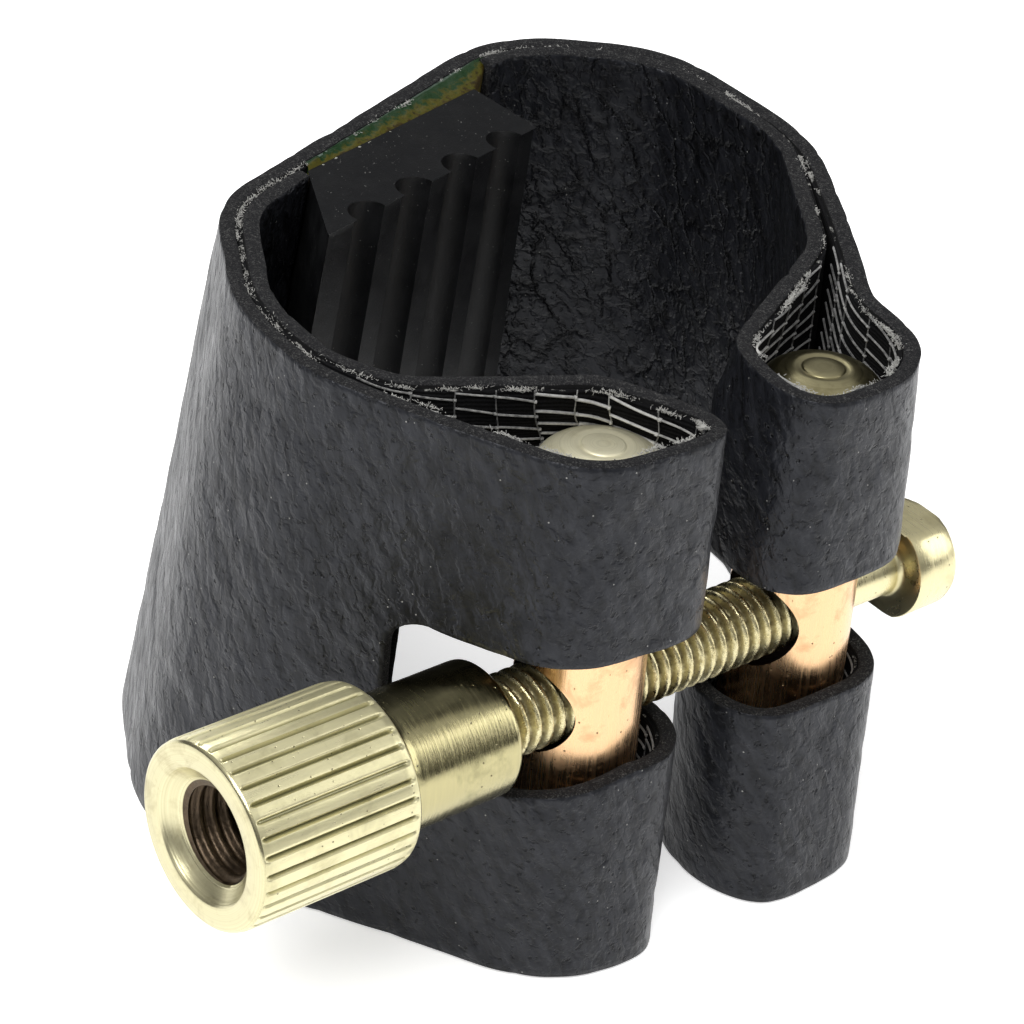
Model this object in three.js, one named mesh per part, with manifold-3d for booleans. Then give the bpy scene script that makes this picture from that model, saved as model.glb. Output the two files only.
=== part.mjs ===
// Saxophone ligature: a leather strip folded into a tapered band, with a loop at each end.
// A brass bar stands in each loop, and a screw with a thumb nut draws the two bars together.
//
// Millimetres. +Z runs up the band, +X along the screw from thumb nut to screw head, +Y to the
// back of the band. Pieces are drawn with the screw's axis on the X axis and the near bar at
// x = 0. The whole assembly is then set down with its bottom rim's box centred on the origin.

import * as THREE from 'three';
import { mergeVertices } from 'three/addons/utils/BufferGeometryUtils.js';
import Module from 'manifold-3d';

const wasm = await Module();
wasm.setup();

// Leather strip
const RIM_TOP = 14.4; // upper rim above the screw
const RIM_BOTTOM = -12.6; // lower rim below the screw
const WALL = 2.0; // both layers of the folded strip
const LEATHER = 0.76; // one leather layer without its backing
const BACKING_OUT = 0.78; // depth below the grain where the knitted backing starts
const BACKING_IN = 0.95; // depth below the grain where the backing ends
const BAR_LEAN = THREE.MathUtils.degToRad(5); // bars lean back at the top with the tapered band
const BACK_TAPER = 0.00625; // how much closer the back comes per millimetre of height
const SIDE_TAPER = 0.0061; // how much closer the sides come per millimetre of height
const TAPER_START = -1; // the loops in front of this y keep their width
const TAPER_FULL = 16; // the sides behind this y taper fully
const ARC_STEP = THREE.MathUtils.degToRad(10);
const LONGEST_EDGE = 2.2; // straight stretches are divided so that the taper bends them smoothly
const STRIP_STEPS = 3; // layers of edges up the strip's height
const ORIGIN_2D = new THREE.Vector2(0, 0);
const WELD = 1e-4; // points closer than this are one point

// Bars, screw and thumb nut
const BAR_RADIUS = 2.95;
const BAR_SPACING = 13.4;
const BAR_TOP = 12.4;
const BAR_BOTTOM = -10.9;
const DOME_RISE = 1.3; // height of the domed end of a bar
const DOME_FLAT = 0.95; // radius of the turned flat on a dome
const DOME_STEPS = 6;
const NEAR_HOLE = 2.15;
const FAR_HOLE = 2.35;
const THREAD_RADIUS = 1.95;
const NECK_RADIUS = 1.42;
const HEAD_RADIUS = 2.7;
const SCREW_CHAMFER = 0.35;
const SCREW_START = -17.9; // screw's tip, inside the thumb nut
const NECK_START = 13.6;
const HEAD_START = 19.4;
const HEAD_END = 22.1;
const HEAD_FLAT = 2.3; // flats on the head, from its axis
const KNOB_START = -20.7; // outer face of the thumb nut
const KNOB_END = -12.3;
const KNOB_RADIUS = 4.24;
const KNURL_DEPTH = 0.28;
const KNURL_COUNT = 34;
const KNOB_CHAMFER = 0.3;
const COLLAR_END = -5.9;
const COLLAR_RADIUS = 3.15;
const NUT_BORE = 2.12;
const TURNED_SEGMENTS = 48;
const COUNTERSINK_RADIUS = 3.0;
const COUNTERSINK_DEPTH = 0.7;

// Slots that let the screw and the nut's collar reach the bars
const SLOT_BOTTOM = -2.5;
const SLOT_TOP = 4.4;
const SLOT_CORNER = 2.0;
const SLOT_END_CORNER = 0.3;
const SLOT_REACH = 20;
const STEP_BOTTOM = -3.35; // the near slot is deeper at its closed end, clear of the collar
const STEP_REACH = 6.1;
const SLOT_OUTSIDE = 3; // how far a slot's cutter stands outside the wall
const NEAR_SLOT = [-8.45, 3.8]; // closed ends of the slots on the wall's grain side
const NEAR_SLOT_DEPTH = 10.9;
const FAR_SLOT = [19.7, 4.6];
const FAR_SLOT_DEPTH = 9.8;

// Ribbed pad
const PAD_CORNER = [0.6, 24.3]; // left end of the pad's back face
const PAD_TURN = THREE.MathUtils.degToRad(13.5);
const PAD_LENGTH = 14;
const PAD_THICK = 4.6;
const PAD_LEFT_SLANT = -4.1;
const PAD_RIGHT_SLANT = -0.8;
const FLUTE_RADIUS = 1.25;
const FLUTE_PITCH = 3.9;
const FLUTE_FIRST = -0.9;
const FLUTE_COUNT = 4;
const FLUTE_STEPS = 12;
const BAY_LEFT = -0.6; // the strip's inner layer stops either side of the pad
const BAY_RIGHT = 15.4;
const BAY_DEPTH = 1.0;
const PAD_DROP = 0.2; // pad's ends stay this far inside the rims
const GLUE_GAP = 0.04; // clearance round the adhesive layer

const SPLIT_GAP = 0.3; // clearance where the moving loop is divided from the band
const SPLIT_Y = 8.6;
const LOOP_DIVIDE = 5.7; // x between the two loops
const BEYOND = 30; // past every side of the near loop
const OVERCUT = 1; // how far cutters and joined pieces run past the faces they meet

// Corners of the strip's grain side at the screw's height, each [x, y, radius]
const OUTER_WALL = [
  [27.6, 14.6, 9],
  [27.7, 26.4, 7],
  [19.4, 32.2, 8],
  [-6.0, 23.6, 7],
  [-11.1, 15.2, 9],
  [-11.1, 9.2, 9],
];
const NEAR_LOOP = [
  [-4.3, -4.4, 5],
  [4.05, -4.9, 1.8],
  [4.05, 3.3, 2.4],
  [-7.39, 6.25, 2.2],
];
const FAR_LOOP = [
  [18.75, 6.5, 3],
  [7.4, 2.2, 2.6],
  [7.4, -5.2, 2.6],
  [17.5, -5.2, 4.2],
  [17.5, 1.6, 5],
];

const leather = new THREE.MeshStandardMaterial({ color: 0x2b2c2f, roughness: 0.5, metalness: 0 });
const knit = new THREE.MeshStandardMaterial({ color: 0x8d8d8d, roughness: 0.95, metalness: 0 });
const rubber = new THREE.MeshStandardMaterial({ color: 0x17181a, roughness: 0.6, metalness: 0 });
const adhesive = new THREE.MeshStandardMaterial({ color: 0x6f7a12, roughness: 0.5, metalness: 0 });
const redBrass = new THREE.MeshStandardMaterial({ color: 0xe8bd7a, roughness: 0.3, metalness: 1 });
const brass = new THREE.MeshStandardMaterial({ color: 0xcfc68a, roughness: 0.3, metalness: 1 });

// ---- solids -------------------------------------------------------------------------------

function toManifold(geometry) {
  const plain = geometry.clone();
  plain.deleteAttribute('normal');
  plain.deleteAttribute('uv');
  const merged = mergeVertices(plain, WELD);
  const vertProperties = new Float32Array(merged.attributes.position.array);
  const triVerts = new Uint32Array(merged.index.array);
  return new wasm.Manifold(new wasm.Mesh({ numProp: 3, vertProperties, triVerts }));
}

function toGeometry(solid) {
  const { vertProperties, triVerts } = solid.getMesh();
  const geometry = new THREE.BufferGeometry();
  geometry.setAttribute('position', new THREE.BufferAttribute(vertProperties, 3));
  geometry.setIndex(new THREE.BufferAttribute(triVerts, 1));
  geometry.computeVertexNormals();
  return geometry;
}

function block(low, high) {
  const size = high.map((value, i) => value - low[i]);
  const geometry = new THREE.BoxGeometry(...size);
  geometry.translate(...low.map((value, i) => value + size[i] / 2));
  return toManifold(geometry);
}

// An outline drawn up along Z, its height divided into steps.
function prism(outline, low, high, steps = 1) {
  const settings = { depth: high - low, steps, bevelEnabled: false };
  return new THREE.ExtrudeGeometry(new THREE.Shape(outline), settings).translate(0, 0, low);
}

// A turned piece along +X. Each profile point is [x, radius].
function turned(profile) {
  const points = profile.map(([x, radius]) => new THREE.Vector2(radius, x));
  return new THREE.LatheGeometry(points, TURNED_SEGMENTS).rotateZ(-Math.PI / 2);
}

// ---- outlines -----------------------------------------------------------------------------

function direction(from, to) {
  return new THREE.Vector2(to[0] - from[0], to[1] - from[1]).normalize();
}

// Moves every edge of an anticlockwise outline outwards by a distance.
function offsetCorners(corners, distance) {
  return corners.map((corner, i) => {
    const arriving = direction(corners.at(i - 1), corner);
    const leaving = direction(corner, corners[(i + 1) % corners.length]);
    const mitre = distance / (1 + arriving.dot(leaving));
    const x = corner[0] + (arriving.y + leaving.y) * mitre;
    const y = corner[1] - (arriving.x + leaving.x) * mitre;
    return [x, y, corner[2] + distance * Math.sign(arriving.cross(leaving))];
  });
}

// Rounds each corner [x, y, radius] with an arc.
function roundedOutline(corners) {
  return corners.flatMap(([x, y, radius], i) => {
    const arriving = direction(corners.at(i - 1), [x, y]);
    const leaving = direction([x, y], corners[(i + 1) % corners.length]);
    const turn = Math.atan2(arriving.cross(leaving), arriving.dot(leaving));
    const side = Math.sign(turn) * radius;
    const tangentLength = radius * Math.tan(Math.abs(turn) / 2);
    const start = new THREE.Vector2(x, y).addScaledVector(arriving, -tangentLength);
    const centre = new THREE.Vector2(start.x - arriving.y * side, start.y + arriving.x * side);
    const steps = Math.max(2, Math.ceil(Math.abs(turn) / ARC_STEP));
    const arcPoint = (k) => start.clone().rotateAround(centre, (turn * k) / steps);
    return Array.from({ length: steps + 1 }, (_, k) => arcPoint(k));
  });
}

// The strip's grain side: round the outside, back inside the near loop, and round the far loop.
function stripCorners() {
  const wallWithEnds = [FAR_LOOP.at(-1), ...OUTER_WALL, NEAR_LOOP[0]];
  const innerWall = offsetCorners(wallWithEnds, -WALL).slice(1, -1).reverse();
  return [...OUTER_WALL, ...NEAR_LOOP, ...innerWall, ...FAR_LOOP];
}

// ---- the band's taper ---------------------------------------------------------------------

// Leans the front back with the bars, and brings the sides and back in towards the top.
function taper(geometry) {
  const position = geometry.attributes.position;
  const middle = BAR_SPACING / 2;
  for (let i = 0; i < position.count; i += 1) {
    const y = position.getY(i);
    const z = position.getZ(i);
    const side = THREE.MathUtils.smoothstep(y, TAPER_START, TAPER_FULL);
    position.setX(i, middle + (position.getX(i) - middle) * (1 - SIDE_TAPER * z * side));
    position.setY(i, y * (1 - BACK_TAPER * z) + z * Math.tan(BAR_LEAN));
  }
  return geometry;
}

// ---- leather and backing ------------------------------------------------------------------

// The strip's outline at a depth below its grain side, its long edges divided to suit the taper.
function stripOutline(depth) {
  const corners = stripCorners();
  const grain = roundedOutline(corners);
  const outline = roundedOutline(offsetCorners(corners, -depth));
  return outline.flatMap((point, i) => {
    const next = (i + 1) % outline.length;
    const steps = Math.ceil(grain[i].distanceTo(grain[next]) / LONGEST_EDGE);
    return Array.from({ length: steps }, (_, k) => point.clone().lerp(outline[next], k / steps));
  });
}

// A ring of the strip between two depths below its grain side.
function stripRing(outerDepth, innerDepth) {
  const [outer, inner] = [outerDepth, innerDepth].map((depth) =>
    toManifold(taper(prism(stripOutline(depth), RIM_BOTTOM, RIM_TOP, STRIP_STEPS))),
  );
  return outer.subtract(inner);
}

// A slot cut square to the wall, from its closed end at start along the wall towards the loop.
function slotCutter(start, along, bottom, reach, low, high) {
  const outline = roundedOutline([
    [0, bottom, SLOT_CORNER],
    [reach, bottom, SLOT_END_CORNER],
    [reach, SLOT_TOP, SLOT_END_CORNER],
    [0, SLOT_TOP, SLOT_CORNER],
  ]);
  const geometry = prism(outline, low, high);
  const alongWall = new THREE.Vector3(along.x, along.y, 0);
  const up = new THREE.Vector3(0, 0, 1);
  const throughWall = new THREE.Vector3().crossVectors(alongWall, up);
  geometry.applyMatrix4(new THREE.Matrix4().makeBasis(alongWall, up, throughWall));
  return toManifold(geometry.translate(start[0], start[1], 0));
}

// The point on the straight back wall at x, a given depth below its grain side.
function backWallAt(x, depth) {
  const [right, left] = [OUTER_WALL[2], OUTER_WALL[3]];
  const along = direction(left, right);
  const run = (x - left[0]) / along.x;
  const onGrain = new THREE.Vector2(...left).addScaledVector(along, run);
  return onGrain.add(new THREE.Vector2(along.y, -along.x).multiplyScalar(depth));
}

// The bay behind the pad, where the inner layer of the strip is left out.
function padBay() {
  const near = WALL * 2; // clear through the inner layer
  const corners = [
    backWallAt(BAY_LEFT, BAY_DEPTH),
    backWallAt(BAY_LEFT, near),
    backWallAt(BAY_RIGHT, near),
    backWallAt(BAY_RIGHT, BAY_DEPTH),
  ];
  return toManifold(taper(prism(corners, RIM_BOTTOM - OVERCUT, RIM_TOP + OVERCUT)));
}

// Divides a ring into the near loop, the end of the inner layer, and the rest of the strip.
function divideStrip(ring) {
  const nearWall = direction(OUTER_WALL.at(-1), NEAR_LOOP[0]);
  const farWall = direction(OUTER_WALL[0], FAR_LOOP.at(-1));
  const nearCut = [-NEAR_SLOT_DEPTH, SLOT_OUTSIDE];
  const farCut = [-SLOT_OUTSIDE, FAR_SLOT_DEPTH];
  const nearSlot = slotCutter(NEAR_SLOT, nearWall, SLOT_BOTTOM, SLOT_REACH, ...nearCut);
  const collarStep = slotCutter(NEAR_SLOT, nearWall, STEP_BOTTOM, STEP_REACH, ...nearCut);
  const farSlot = slotCutter(FAR_SLOT, farWall, SLOT_BOTTOM, SLOT_REACH, ...farCut);
  const slotted = ring.subtract(nearSlot).subtract(collarStep).subtract(farSlot).subtract(padBay());
  const low = [-BEYOND, -BEYOND, -BEYOND];
  const nearLoop = slotted.intersect(block(low, [LOOP_DIVIDE, SPLIT_Y, BEYOND]));
  const rest = slotted.subtract(block(low, [LOOP_DIVIDE, SPLIT_Y + SPLIT_GAP, BEYOND]));
  const others = rest.decompose();
  const bySize = others.sort((a, b) => b.volume() - a.volume());
  return { nearLoop, strip: bySize[0], innerEnd: bySize[1] };
}

// ---- pad ----------------------------------------------------------------------------------

// Points given as [along the pad's back, inwards from it], put in place on the back wall.
function placePad(points) {
  const corner = new THREE.Vector2(...PAD_CORNER);
  return points.map(([along, inwards]) => {
    const turned = new THREE.Vector2(along, -inwards).rotateAround(ORIGIN_2D, PAD_TURN);
    return turned.add(corner);
  });
}

// A half-round flute in the pad's inner face.
function flute(centre) {
  return Array.from({ length: FLUTE_STEPS + 1 }, (_, k) => {
    const angle = (Math.PI * k) / FLUTE_STEPS;
    return [centre - FLUTE_RADIUS * Math.cos(angle), PAD_THICK - FLUTE_RADIUS * Math.sin(angle)];
  });
}

function ribbedPad() {
  const centres = Array.from({ length: FLUTE_COUNT }, (_, i) => FLUTE_FIRST + i * FLUTE_PITCH);
  const outline = placePad([
    [PAD_LENGTH, 0],
    [0, 0],
    [PAD_LEFT_SLANT, PAD_THICK],
    ...centres.flatMap(flute),
    [PAD_LENGTH + PAD_RIGHT_SLANT, PAD_THICK],
  ]);
  return taper(prism(outline, RIM_BOTTOM + PAD_DROP, RIM_TOP - PAD_DROP));
}

// The wedge of adhesive between the pad's flat back and the outer layer.
function padAdhesive() {
  const depth = BACKING_IN + GLUE_GAP;
  const [backRight, backLeft] = placePad([
    [PAD_LENGTH, -GLUE_GAP],
    [0, -GLUE_GAP],
  ]);
  const [wallLeft, wallRight] = [backLeft, backRight].map(({ x }) => backWallAt(x, depth));
  const outline = [wallLeft, backLeft, backRight, wallRight];
  return taper(prism(outline, RIM_BOTTOM + PAD_DROP, RIM_TOP - PAD_DROP));
}

// ---- metal parts --------------------------------------------------------------------------

// A round bar with domed ends, leaning with the band, cross-drilled for the screw.
function bar(x, holeRadius) {
  const dome = Array.from({ length: DOME_STEPS + 1 }, (_, k) => {
    const angle = (Math.PI / 2) * (k / DOME_STEPS);
    const radius = DOME_FLAT + (BAR_RADIUS - DOME_FLAT) * Math.sin(angle);
    return [radius, DOME_RISE * (1 - Math.cos(angle))];
  });
  const bottom = dome.map(([radius, rise]) => [BAR_BOTTOM + rise, radius]);
  const top = dome.map(([radius, drop]) => [BAR_TOP - drop, radius]).reverse();
  const round = turned([[BAR_BOTTOM, 0], ...bottom, ...top, [BAR_TOP, 0]]);
  const standing = round.rotateY(-Math.PI / 2).rotateX(-BAR_LEAN).translate(x, 0, 0);
  const reach = BAR_RADIUS + OVERCUT;
  const drill = turned([
    [x - reach, 0],
    [x - reach, holeRadius],
    [x + reach, holeRadius],
    [x + reach, 0],
  ]);
  return toGeometry(toManifold(standing).subtract(toManifold(drill)));
}

// Threaded rod with an unthreaded neck and a cylindrical head milled flat on two sides.
function clampScrew() {
  const tip = THREAD_RADIUS - SCREW_CHAMFER;
  const round = turned([
    [SCREW_START, 0],
    [SCREW_START, tip],
    [SCREW_START + SCREW_CHAMFER, THREAD_RADIUS],
    [NECK_START, THREAD_RADIUS],
    [NECK_START, NECK_RADIUS],
    [HEAD_START, NECK_RADIUS],
    [HEAD_START, HEAD_RADIUS],
    [HEAD_END - SCREW_CHAMFER / 2, HEAD_RADIUS],
    [HEAD_END, HEAD_RADIUS - SCREW_CHAMFER / 2],
    [HEAD_END, 0],
  ]);
  const [start, end] = [HEAD_START - OVERCUT, HEAD_END + OVERCUT];
  const side = HEAD_RADIUS + OVERCUT;
  const topFlat = block([start, -side, HEAD_FLAT], [end, side, side]);
  const bottomFlat = block([start, -side, -side], [end, side, -HEAD_FLAT]);
  return toGeometry(toManifold(round).subtract(topFlat).subtract(bottomFlat));
}

// Straight knurled head with a smooth collar, bored through for the screw.
function thumbNut() {
  const ridge = (k) => {
    const radius = k % 2 === 0 ? KNOB_RADIUS : KNOB_RADIUS - KNURL_DEPTH;
    const angle = (Math.PI * k) / KNURL_COUNT;
    return new THREE.Vector2(radius * Math.cos(angle), radius * Math.sin(angle));
  };
  const outline = Array.from({ length: KNURL_COUNT * 2 }, (_, k) => ridge(k));
  const knurled = toManifold(prism(outline, KNOB_START, KNOB_END).rotateY(Math.PI / 2));
  const blank = turned([
    [KNOB_START, 0],
    [KNOB_START, KNOB_RADIUS - KNOB_CHAMFER],
    [KNOB_START + KNOB_CHAMFER, KNOB_RADIUS],
    [KNOB_END - KNOB_CHAMFER, KNOB_RADIUS],
    [KNOB_END, KNOB_RADIUS - KNOB_CHAMFER],
    [KNOB_END, 0],
  ]);
  const collar = turned([
    [KNOB_END - OVERCUT, 0],
    [KNOB_END - OVERCUT, COLLAR_RADIUS],
    [COLLAR_END, COLLAR_RADIUS],
    [COLLAR_END, 0],
  ]);
  const bore = turned([
    [KNOB_START - OVERCUT, 0],
    [KNOB_START - OVERCUT, COUNTERSINK_RADIUS],
    [KNOB_START, COUNTERSINK_RADIUS],
    [KNOB_START + COUNTERSINK_DEPTH, NUT_BORE],
    [COLLAR_END + OVERCUT, NUT_BORE],
    [COLLAR_END + OVERCUT, 0],
  ]);
  const head = knurled.intersect(toManifold(blank));
  return toGeometry(head.add(toManifold(collar)).subtract(toManifold(bore)));
}

// ---- assembly -----------------------------------------------------------------------------

function piece(name, geometry, material) {
  const mesh = new THREE.Mesh(geometry, material);
  mesh.name = name;
  return mesh;
}

const leatherParts = divideStrip(stripRing(0, LEATHER));
const backingParts = divideStrip(stripRing(BACKING_OUT, BACKING_IN));

const band = new THREE.Group();
band.add(
  piece('leather_strip', toGeometry(leatherParts.strip), leather),
  piece('leather_inner_end', toGeometry(leatherParts.innerEnd), leather),
  piece('backing_strip', toGeometry(backingParts.strip), knit),
  piece('backing_inner_end', toGeometry(backingParts.innerEnd), knit),
  piece('ribbed_pad', ribbedPad(), rubber),
  piece('pad_adhesive', padAdhesive(), adhesive),
  piece('far_bar', bar(BAR_SPACING, FAR_HOLE), redBrass),
);

const nearLoop = new THREE.Group();
nearLoop.add(
  piece('leather_near_loop', toGeometry(leatherParts.nearLoop), leather),
  piece('backing_near_loop', toGeometry(backingParts.nearLoop), knit),
  piece('near_bar', bar(0, NEAR_HOLE), redBrass),
);

const screw = new THREE.Group();
screw.add(piece('clamp_screw', clampScrew(), brass), piece('thumb_nut', thumbNut(), brass));

const ligature = new THREE.Group();
ligature.add(band, nearLoop, screw);

// Set the assembly down with its box centred over the origin.
const box = new THREE.Box3().setFromObject(ligature, true);
const middle = box.getCenter(new THREE.Vector3());
ligature.position.set(-middle.x, -middle.y, -box.min.z);

export default ligature;
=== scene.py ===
"""Saxophone ligature: folded leather strip, brass bars, clamp screw, thumb nut and ribbed pad.

Pieces are drawn in millimetres with the screw's axis on the X axis and the near bar at x = 0,
then placed in the shared frame.
"""

import math

import bpy
import numpy as np
from mathutils import Matrix, Vector


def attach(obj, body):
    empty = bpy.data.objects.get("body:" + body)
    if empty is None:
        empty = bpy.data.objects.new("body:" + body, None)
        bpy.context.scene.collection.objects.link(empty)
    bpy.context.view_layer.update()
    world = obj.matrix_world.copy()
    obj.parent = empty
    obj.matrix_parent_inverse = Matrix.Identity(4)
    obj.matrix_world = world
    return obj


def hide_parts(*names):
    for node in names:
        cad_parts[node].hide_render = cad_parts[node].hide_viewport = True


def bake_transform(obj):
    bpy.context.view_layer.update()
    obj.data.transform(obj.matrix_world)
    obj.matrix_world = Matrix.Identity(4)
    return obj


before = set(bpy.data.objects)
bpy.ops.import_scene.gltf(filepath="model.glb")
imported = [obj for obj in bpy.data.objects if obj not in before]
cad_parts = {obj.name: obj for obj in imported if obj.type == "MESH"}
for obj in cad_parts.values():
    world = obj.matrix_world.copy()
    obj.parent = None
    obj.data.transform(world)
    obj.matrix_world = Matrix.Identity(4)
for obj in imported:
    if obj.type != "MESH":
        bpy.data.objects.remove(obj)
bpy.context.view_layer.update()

MM = 0.001
ORIGIN = np.array([-4.2902, -12.9885, 12.6])  # the near bar's centre in the shared frame, mm
SEED = 7

# ---- sizes, in millimetres -----------------------------------------------------------------

RIM_TOP = 14.4
RIM_BOTTOM = -12.6
WALL = 2.0
LEATHER = 0.76
BACKING = (0.79, 0.94)
LEAN = math.radians(5)
BACK_TAPER = 0.00625
SIDE_TAPER = 0.0061
TAPER_Y = (-1, 16)
TAPER_MIDDLE = 4.2
SPLIT_X = -1.0
BAY = (-0.6, 16.2)
ARC_STEPS = 25
SHEET_STEP = 0.25
BLUR_REACH = 8  # stations over which the outline's corners are blurred
BLUR_WIDTH = 3.0
LEATHER_STEP = 0.285
BACKING_STEP = 0.55
BACKING_INSET = 0.16
BACKING_BULGE = 0.02

# Corners of the wall's grain side, each x, y, radius.
OUTER_WALL = [
    (27.6, 14.6, 9),
    (27.7, 26.4, 7),
    (19.4, 32.2, 8),
    (-6.0, 23.6, 7),
    (-11.1, 15.2, 9),
    (-11.1, 9.2, 9),
]
# The loops change shape with height. At each height, from the lower rim to the upper one, corners
# run round the near loop (front left, front right, tip, inside) and the far loop (inside, tip,
# front left, front right, outside). Both loops close on the corners where the two layers join.
LEVELS = [-12.6, -2.2, 4.4, 10.5, 14.4]
NEAR_LOOP = [
    [(-3.6, -3.6, 6.5), (3.5, -4.25, 2.6), (4.1, -0.4, 3), (2.6, 3.4, 1.8)],
    [(-3.9, -3.7, 5), (3.3, -4.3, 3.0), (4.75, -0.8, 2.0), (3.4, 3.3, 2.0)],
    [(-4.6, -4.2, 4.5), (4.0, -4.9, 2.6), (4.6, -0.8, 3), (3.9, 3.3, 2.4)],
    [(-4.4, -4.6, 4.8), (3.9, -4.9, 1.6), (4.0, -1.2, 3), (3.6, 3.2, 2.2)],
    [(-4.2, -4.9, 4.5), (3.45, -5.2, 1.1), (3.45, -2.7, 3), (1.3, 1.9, 1.6)],
]
NEAR_JOIN = [(-7.39, 6.25, 2.2)] * 4 + [(-7.2, 6.3, 2.4)]
FAR_LOOP = [
    [(8.2, 2.0, 2.4), (7.3, -1.6, 4), (8.9, -4.6, 2.4), (16.3, -4.5, 3.4), (17.6, 1.6, 5)],
    [(8.2, 2.2, 2.4), (6.9, -0.9, 3), (8.2, -4.1, 2.4), (16.6, -4.2, 2.8), (17.6, 1.6, 5)],
    [(7.8, 2.2, 2.6), (7.4, -2.0, 5), (7.5, -5.0, 2.6), (16.9, -5.0, 3.8), (17.5, 1.4, 5)],
    [(7.8, 2.2, 2.4), (7.4, -2.0, 5), (7.4, -5.2, 2.6), (17.0, -5.3, 4.6), (17.4, 1.3, 5)],
    [(8.2, 1.3, 2.2), (7.45, -2.0, 4), (7.45, -5.8, 2.6), (16.5, -5.7, 5.0), (17.0, 1.0, 5)],
]
FAR_JOIN = [(18.75, 6.5, 3)] * 3 + [(18.65, 6.5, 3), (18.4, 6.5, 3)]

SLOT_TOP = 4.5
SLOT_CORNER = 1.9
NEAR_SLOT_ENDS = ((-8.45, 3.8), (-6.1, 5.9))
FAR_SLOT_ENDS = ((16.2, 5.7), (19.7, 4.6))

BAR_RADIUS = 2.95
BAR_SPACING = 13.4
BAR_TOP = 12.4
BAR_BOTTOM = -10.9
DOME_RISE = 1.3
DOME_FLAT = 0.95
NEAR_HOLE = 2.15
FAR_HOLE = 2.35

THREAD_RADIUS = 1.95
THREAD_ROOT = 1.56
THREAD_PITCH = 0.7
THREAD_ROWS = 12  # rows of points over one turn of a thread
NECK_RADIUS = 1.42
SCREW_START = -17.9
NECK_START = 13.6
HEAD_START = 19.4
HEAD_END = 22.1
HEAD_RADIUS = 2.7
HEAD_FLAT = 2.3

KNOB_START = -20.7
KNOB_END = -12.3
KNOB_RADIUS = 4.24
KNURL_DEPTH = 0.24
KNURL_COUNT = 34
COLLAR_END = -5.9
COLLAR_RADIUS = 3.15
NUT_BORE = 2.02
NUT_THREAD_DEPTH = 0.28

PAD_CORNER = (0.6, 24.3)
PAD_TURN = math.radians(13.5)
PAD_LENGTH = 14
PAD_THICK = 4.6
PAD_LEFT_SLANT = -4.1
PAD_RIGHT_SLANT = -0.8
PAD_DROP = 0.2
FLUTE_RADIUS = 1.25
FLUTE_PITCH = 3.9
FLUTE_FIRST = -0.9
FLUTE_COUNT = 4
FLUTE_STEPS = 19
PAD_STEP = 0.22


# ---- small helpers -------------------------------------------------------------------------


def smooth(t):
    """Eases from 0 to 1, held outside that range."""
    t = np.clip(t, 0, 1)
    return t * t * (3 - 2 * t)


def unit(v):
    return v / np.linalg.norm(v)


def units(v):
    return v / np.maximum(np.linalg.norm(v, axis=-1, keepdims=True), 1e-9)


def angles(count):
    """Equal steps round a full turn."""
    return np.arange(count) * 2 * math.pi / count


def noise(x, y, seed):
    """Smooth noise from -1 to 1 over the plane, one feature per unit."""
    table = np.random.default_rng(seed).uniform(-1, 1, (256, 256))
    i, j = np.floor(x).astype(int), np.floor(y).astype(int)
    u, v = smooth(x - i), smooth(y - j)

    def corner(a, b):
        return table[(i + a) % 256, (j + b) % 256]

    low = corner(0, 0) * (1 - u) + corner(1, 0) * u
    high = corner(0, 1) * (1 - u) + corner(1, 1) * u
    return low * (1 - v) + high * v


def new_object(name, data):
    obj = bpy.data.objects.new(name, data)
    bpy.context.collection.objects.link(obj)
    return obj


def make_piece(name, points, faces, looks, face_looks=None):
    """A smooth-shaded mesh from points in millimetres, in place in the shared frame."""
    mesh = bpy.data.meshes.new(name)
    placed = (np.asarray(points) + ORIGIN) * MM
    mesh.from_pydata(placed.tolist(), [], [list(map(int, face)) for face in faces])
    for look in looks:
        mesh.materials.append(look)
    if face_looks is not None:
        mesh.polygons.foreach_set("material_index", np.asarray(face_looks, dtype=np.int32))
    mesh.polygons.foreach_set("use_smooth", np.ones(len(mesh.polygons), dtype=bool))
    mesh.update()
    return new_object(name, mesh)


def mark_sharp(obj, degrees):
    """Keeps edges crisp where two faces meet at more than an angle."""
    obj.data.set_sharp_from_angle(angle=math.radians(degrees))


def add_attribute(obj, name, values):
    """Stores a number or a vector for every point of a mesh, for its look to read."""
    values = np.asarray(values, dtype=np.float32)
    kind, key = ("FLOAT_VECTOR", "vector") if values.ndim == 2 else ("FLOAT", "value")
    attribute = obj.data.attributes.new(name, kind, "POINT")
    attribute.data.foreach_set(key, values.ravel())


def grid_faces(rows, columns, cyclic=True):
    """Quads of a grid of points stored row by row. A cyclic grid closes round its columns."""
    j, i = np.meshgrid(np.arange(rows - 1), np.arange(columns if cyclic else columns - 1), indexing="ij")
    k = (i + 1) % columns
    quads = [j * columns + i, j * columns + k, (j + 1) * columns + k, (j + 1) * columns + i]
    return np.stack(quads, -1).reshape(-1, 4)


def end_caps(rows, columns, start=0):
    """The faces that close both ends of a cyclic grid whose first point has an index."""
    last = start + (rows - 1) * columns
    return [list(range(start + columns - 1, start - 1, -1)), list(range(last, last + columns))]


def compacted(faces, count):
    """The faces renumbered without unused points, and the points they use."""
    used = np.unique(np.concatenate([np.array(face) for face in faces]))
    renumber = np.full(count, -1)
    renumber[used] = np.arange(len(used))
    return [[int(renumber[v]) for v in face] for face in faces], used


# ---- the strip's sheet ---------------------------------------------------------------------


def edges_at(corners, i):
    """A corner's place, and the directions of the edges into it and out of it."""
    before, here, after = (np.array(corners[k % len(corners)][:2]) for k in (i - 1, i, i + 1))
    return here, unit(here - before), unit(after - here)


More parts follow.
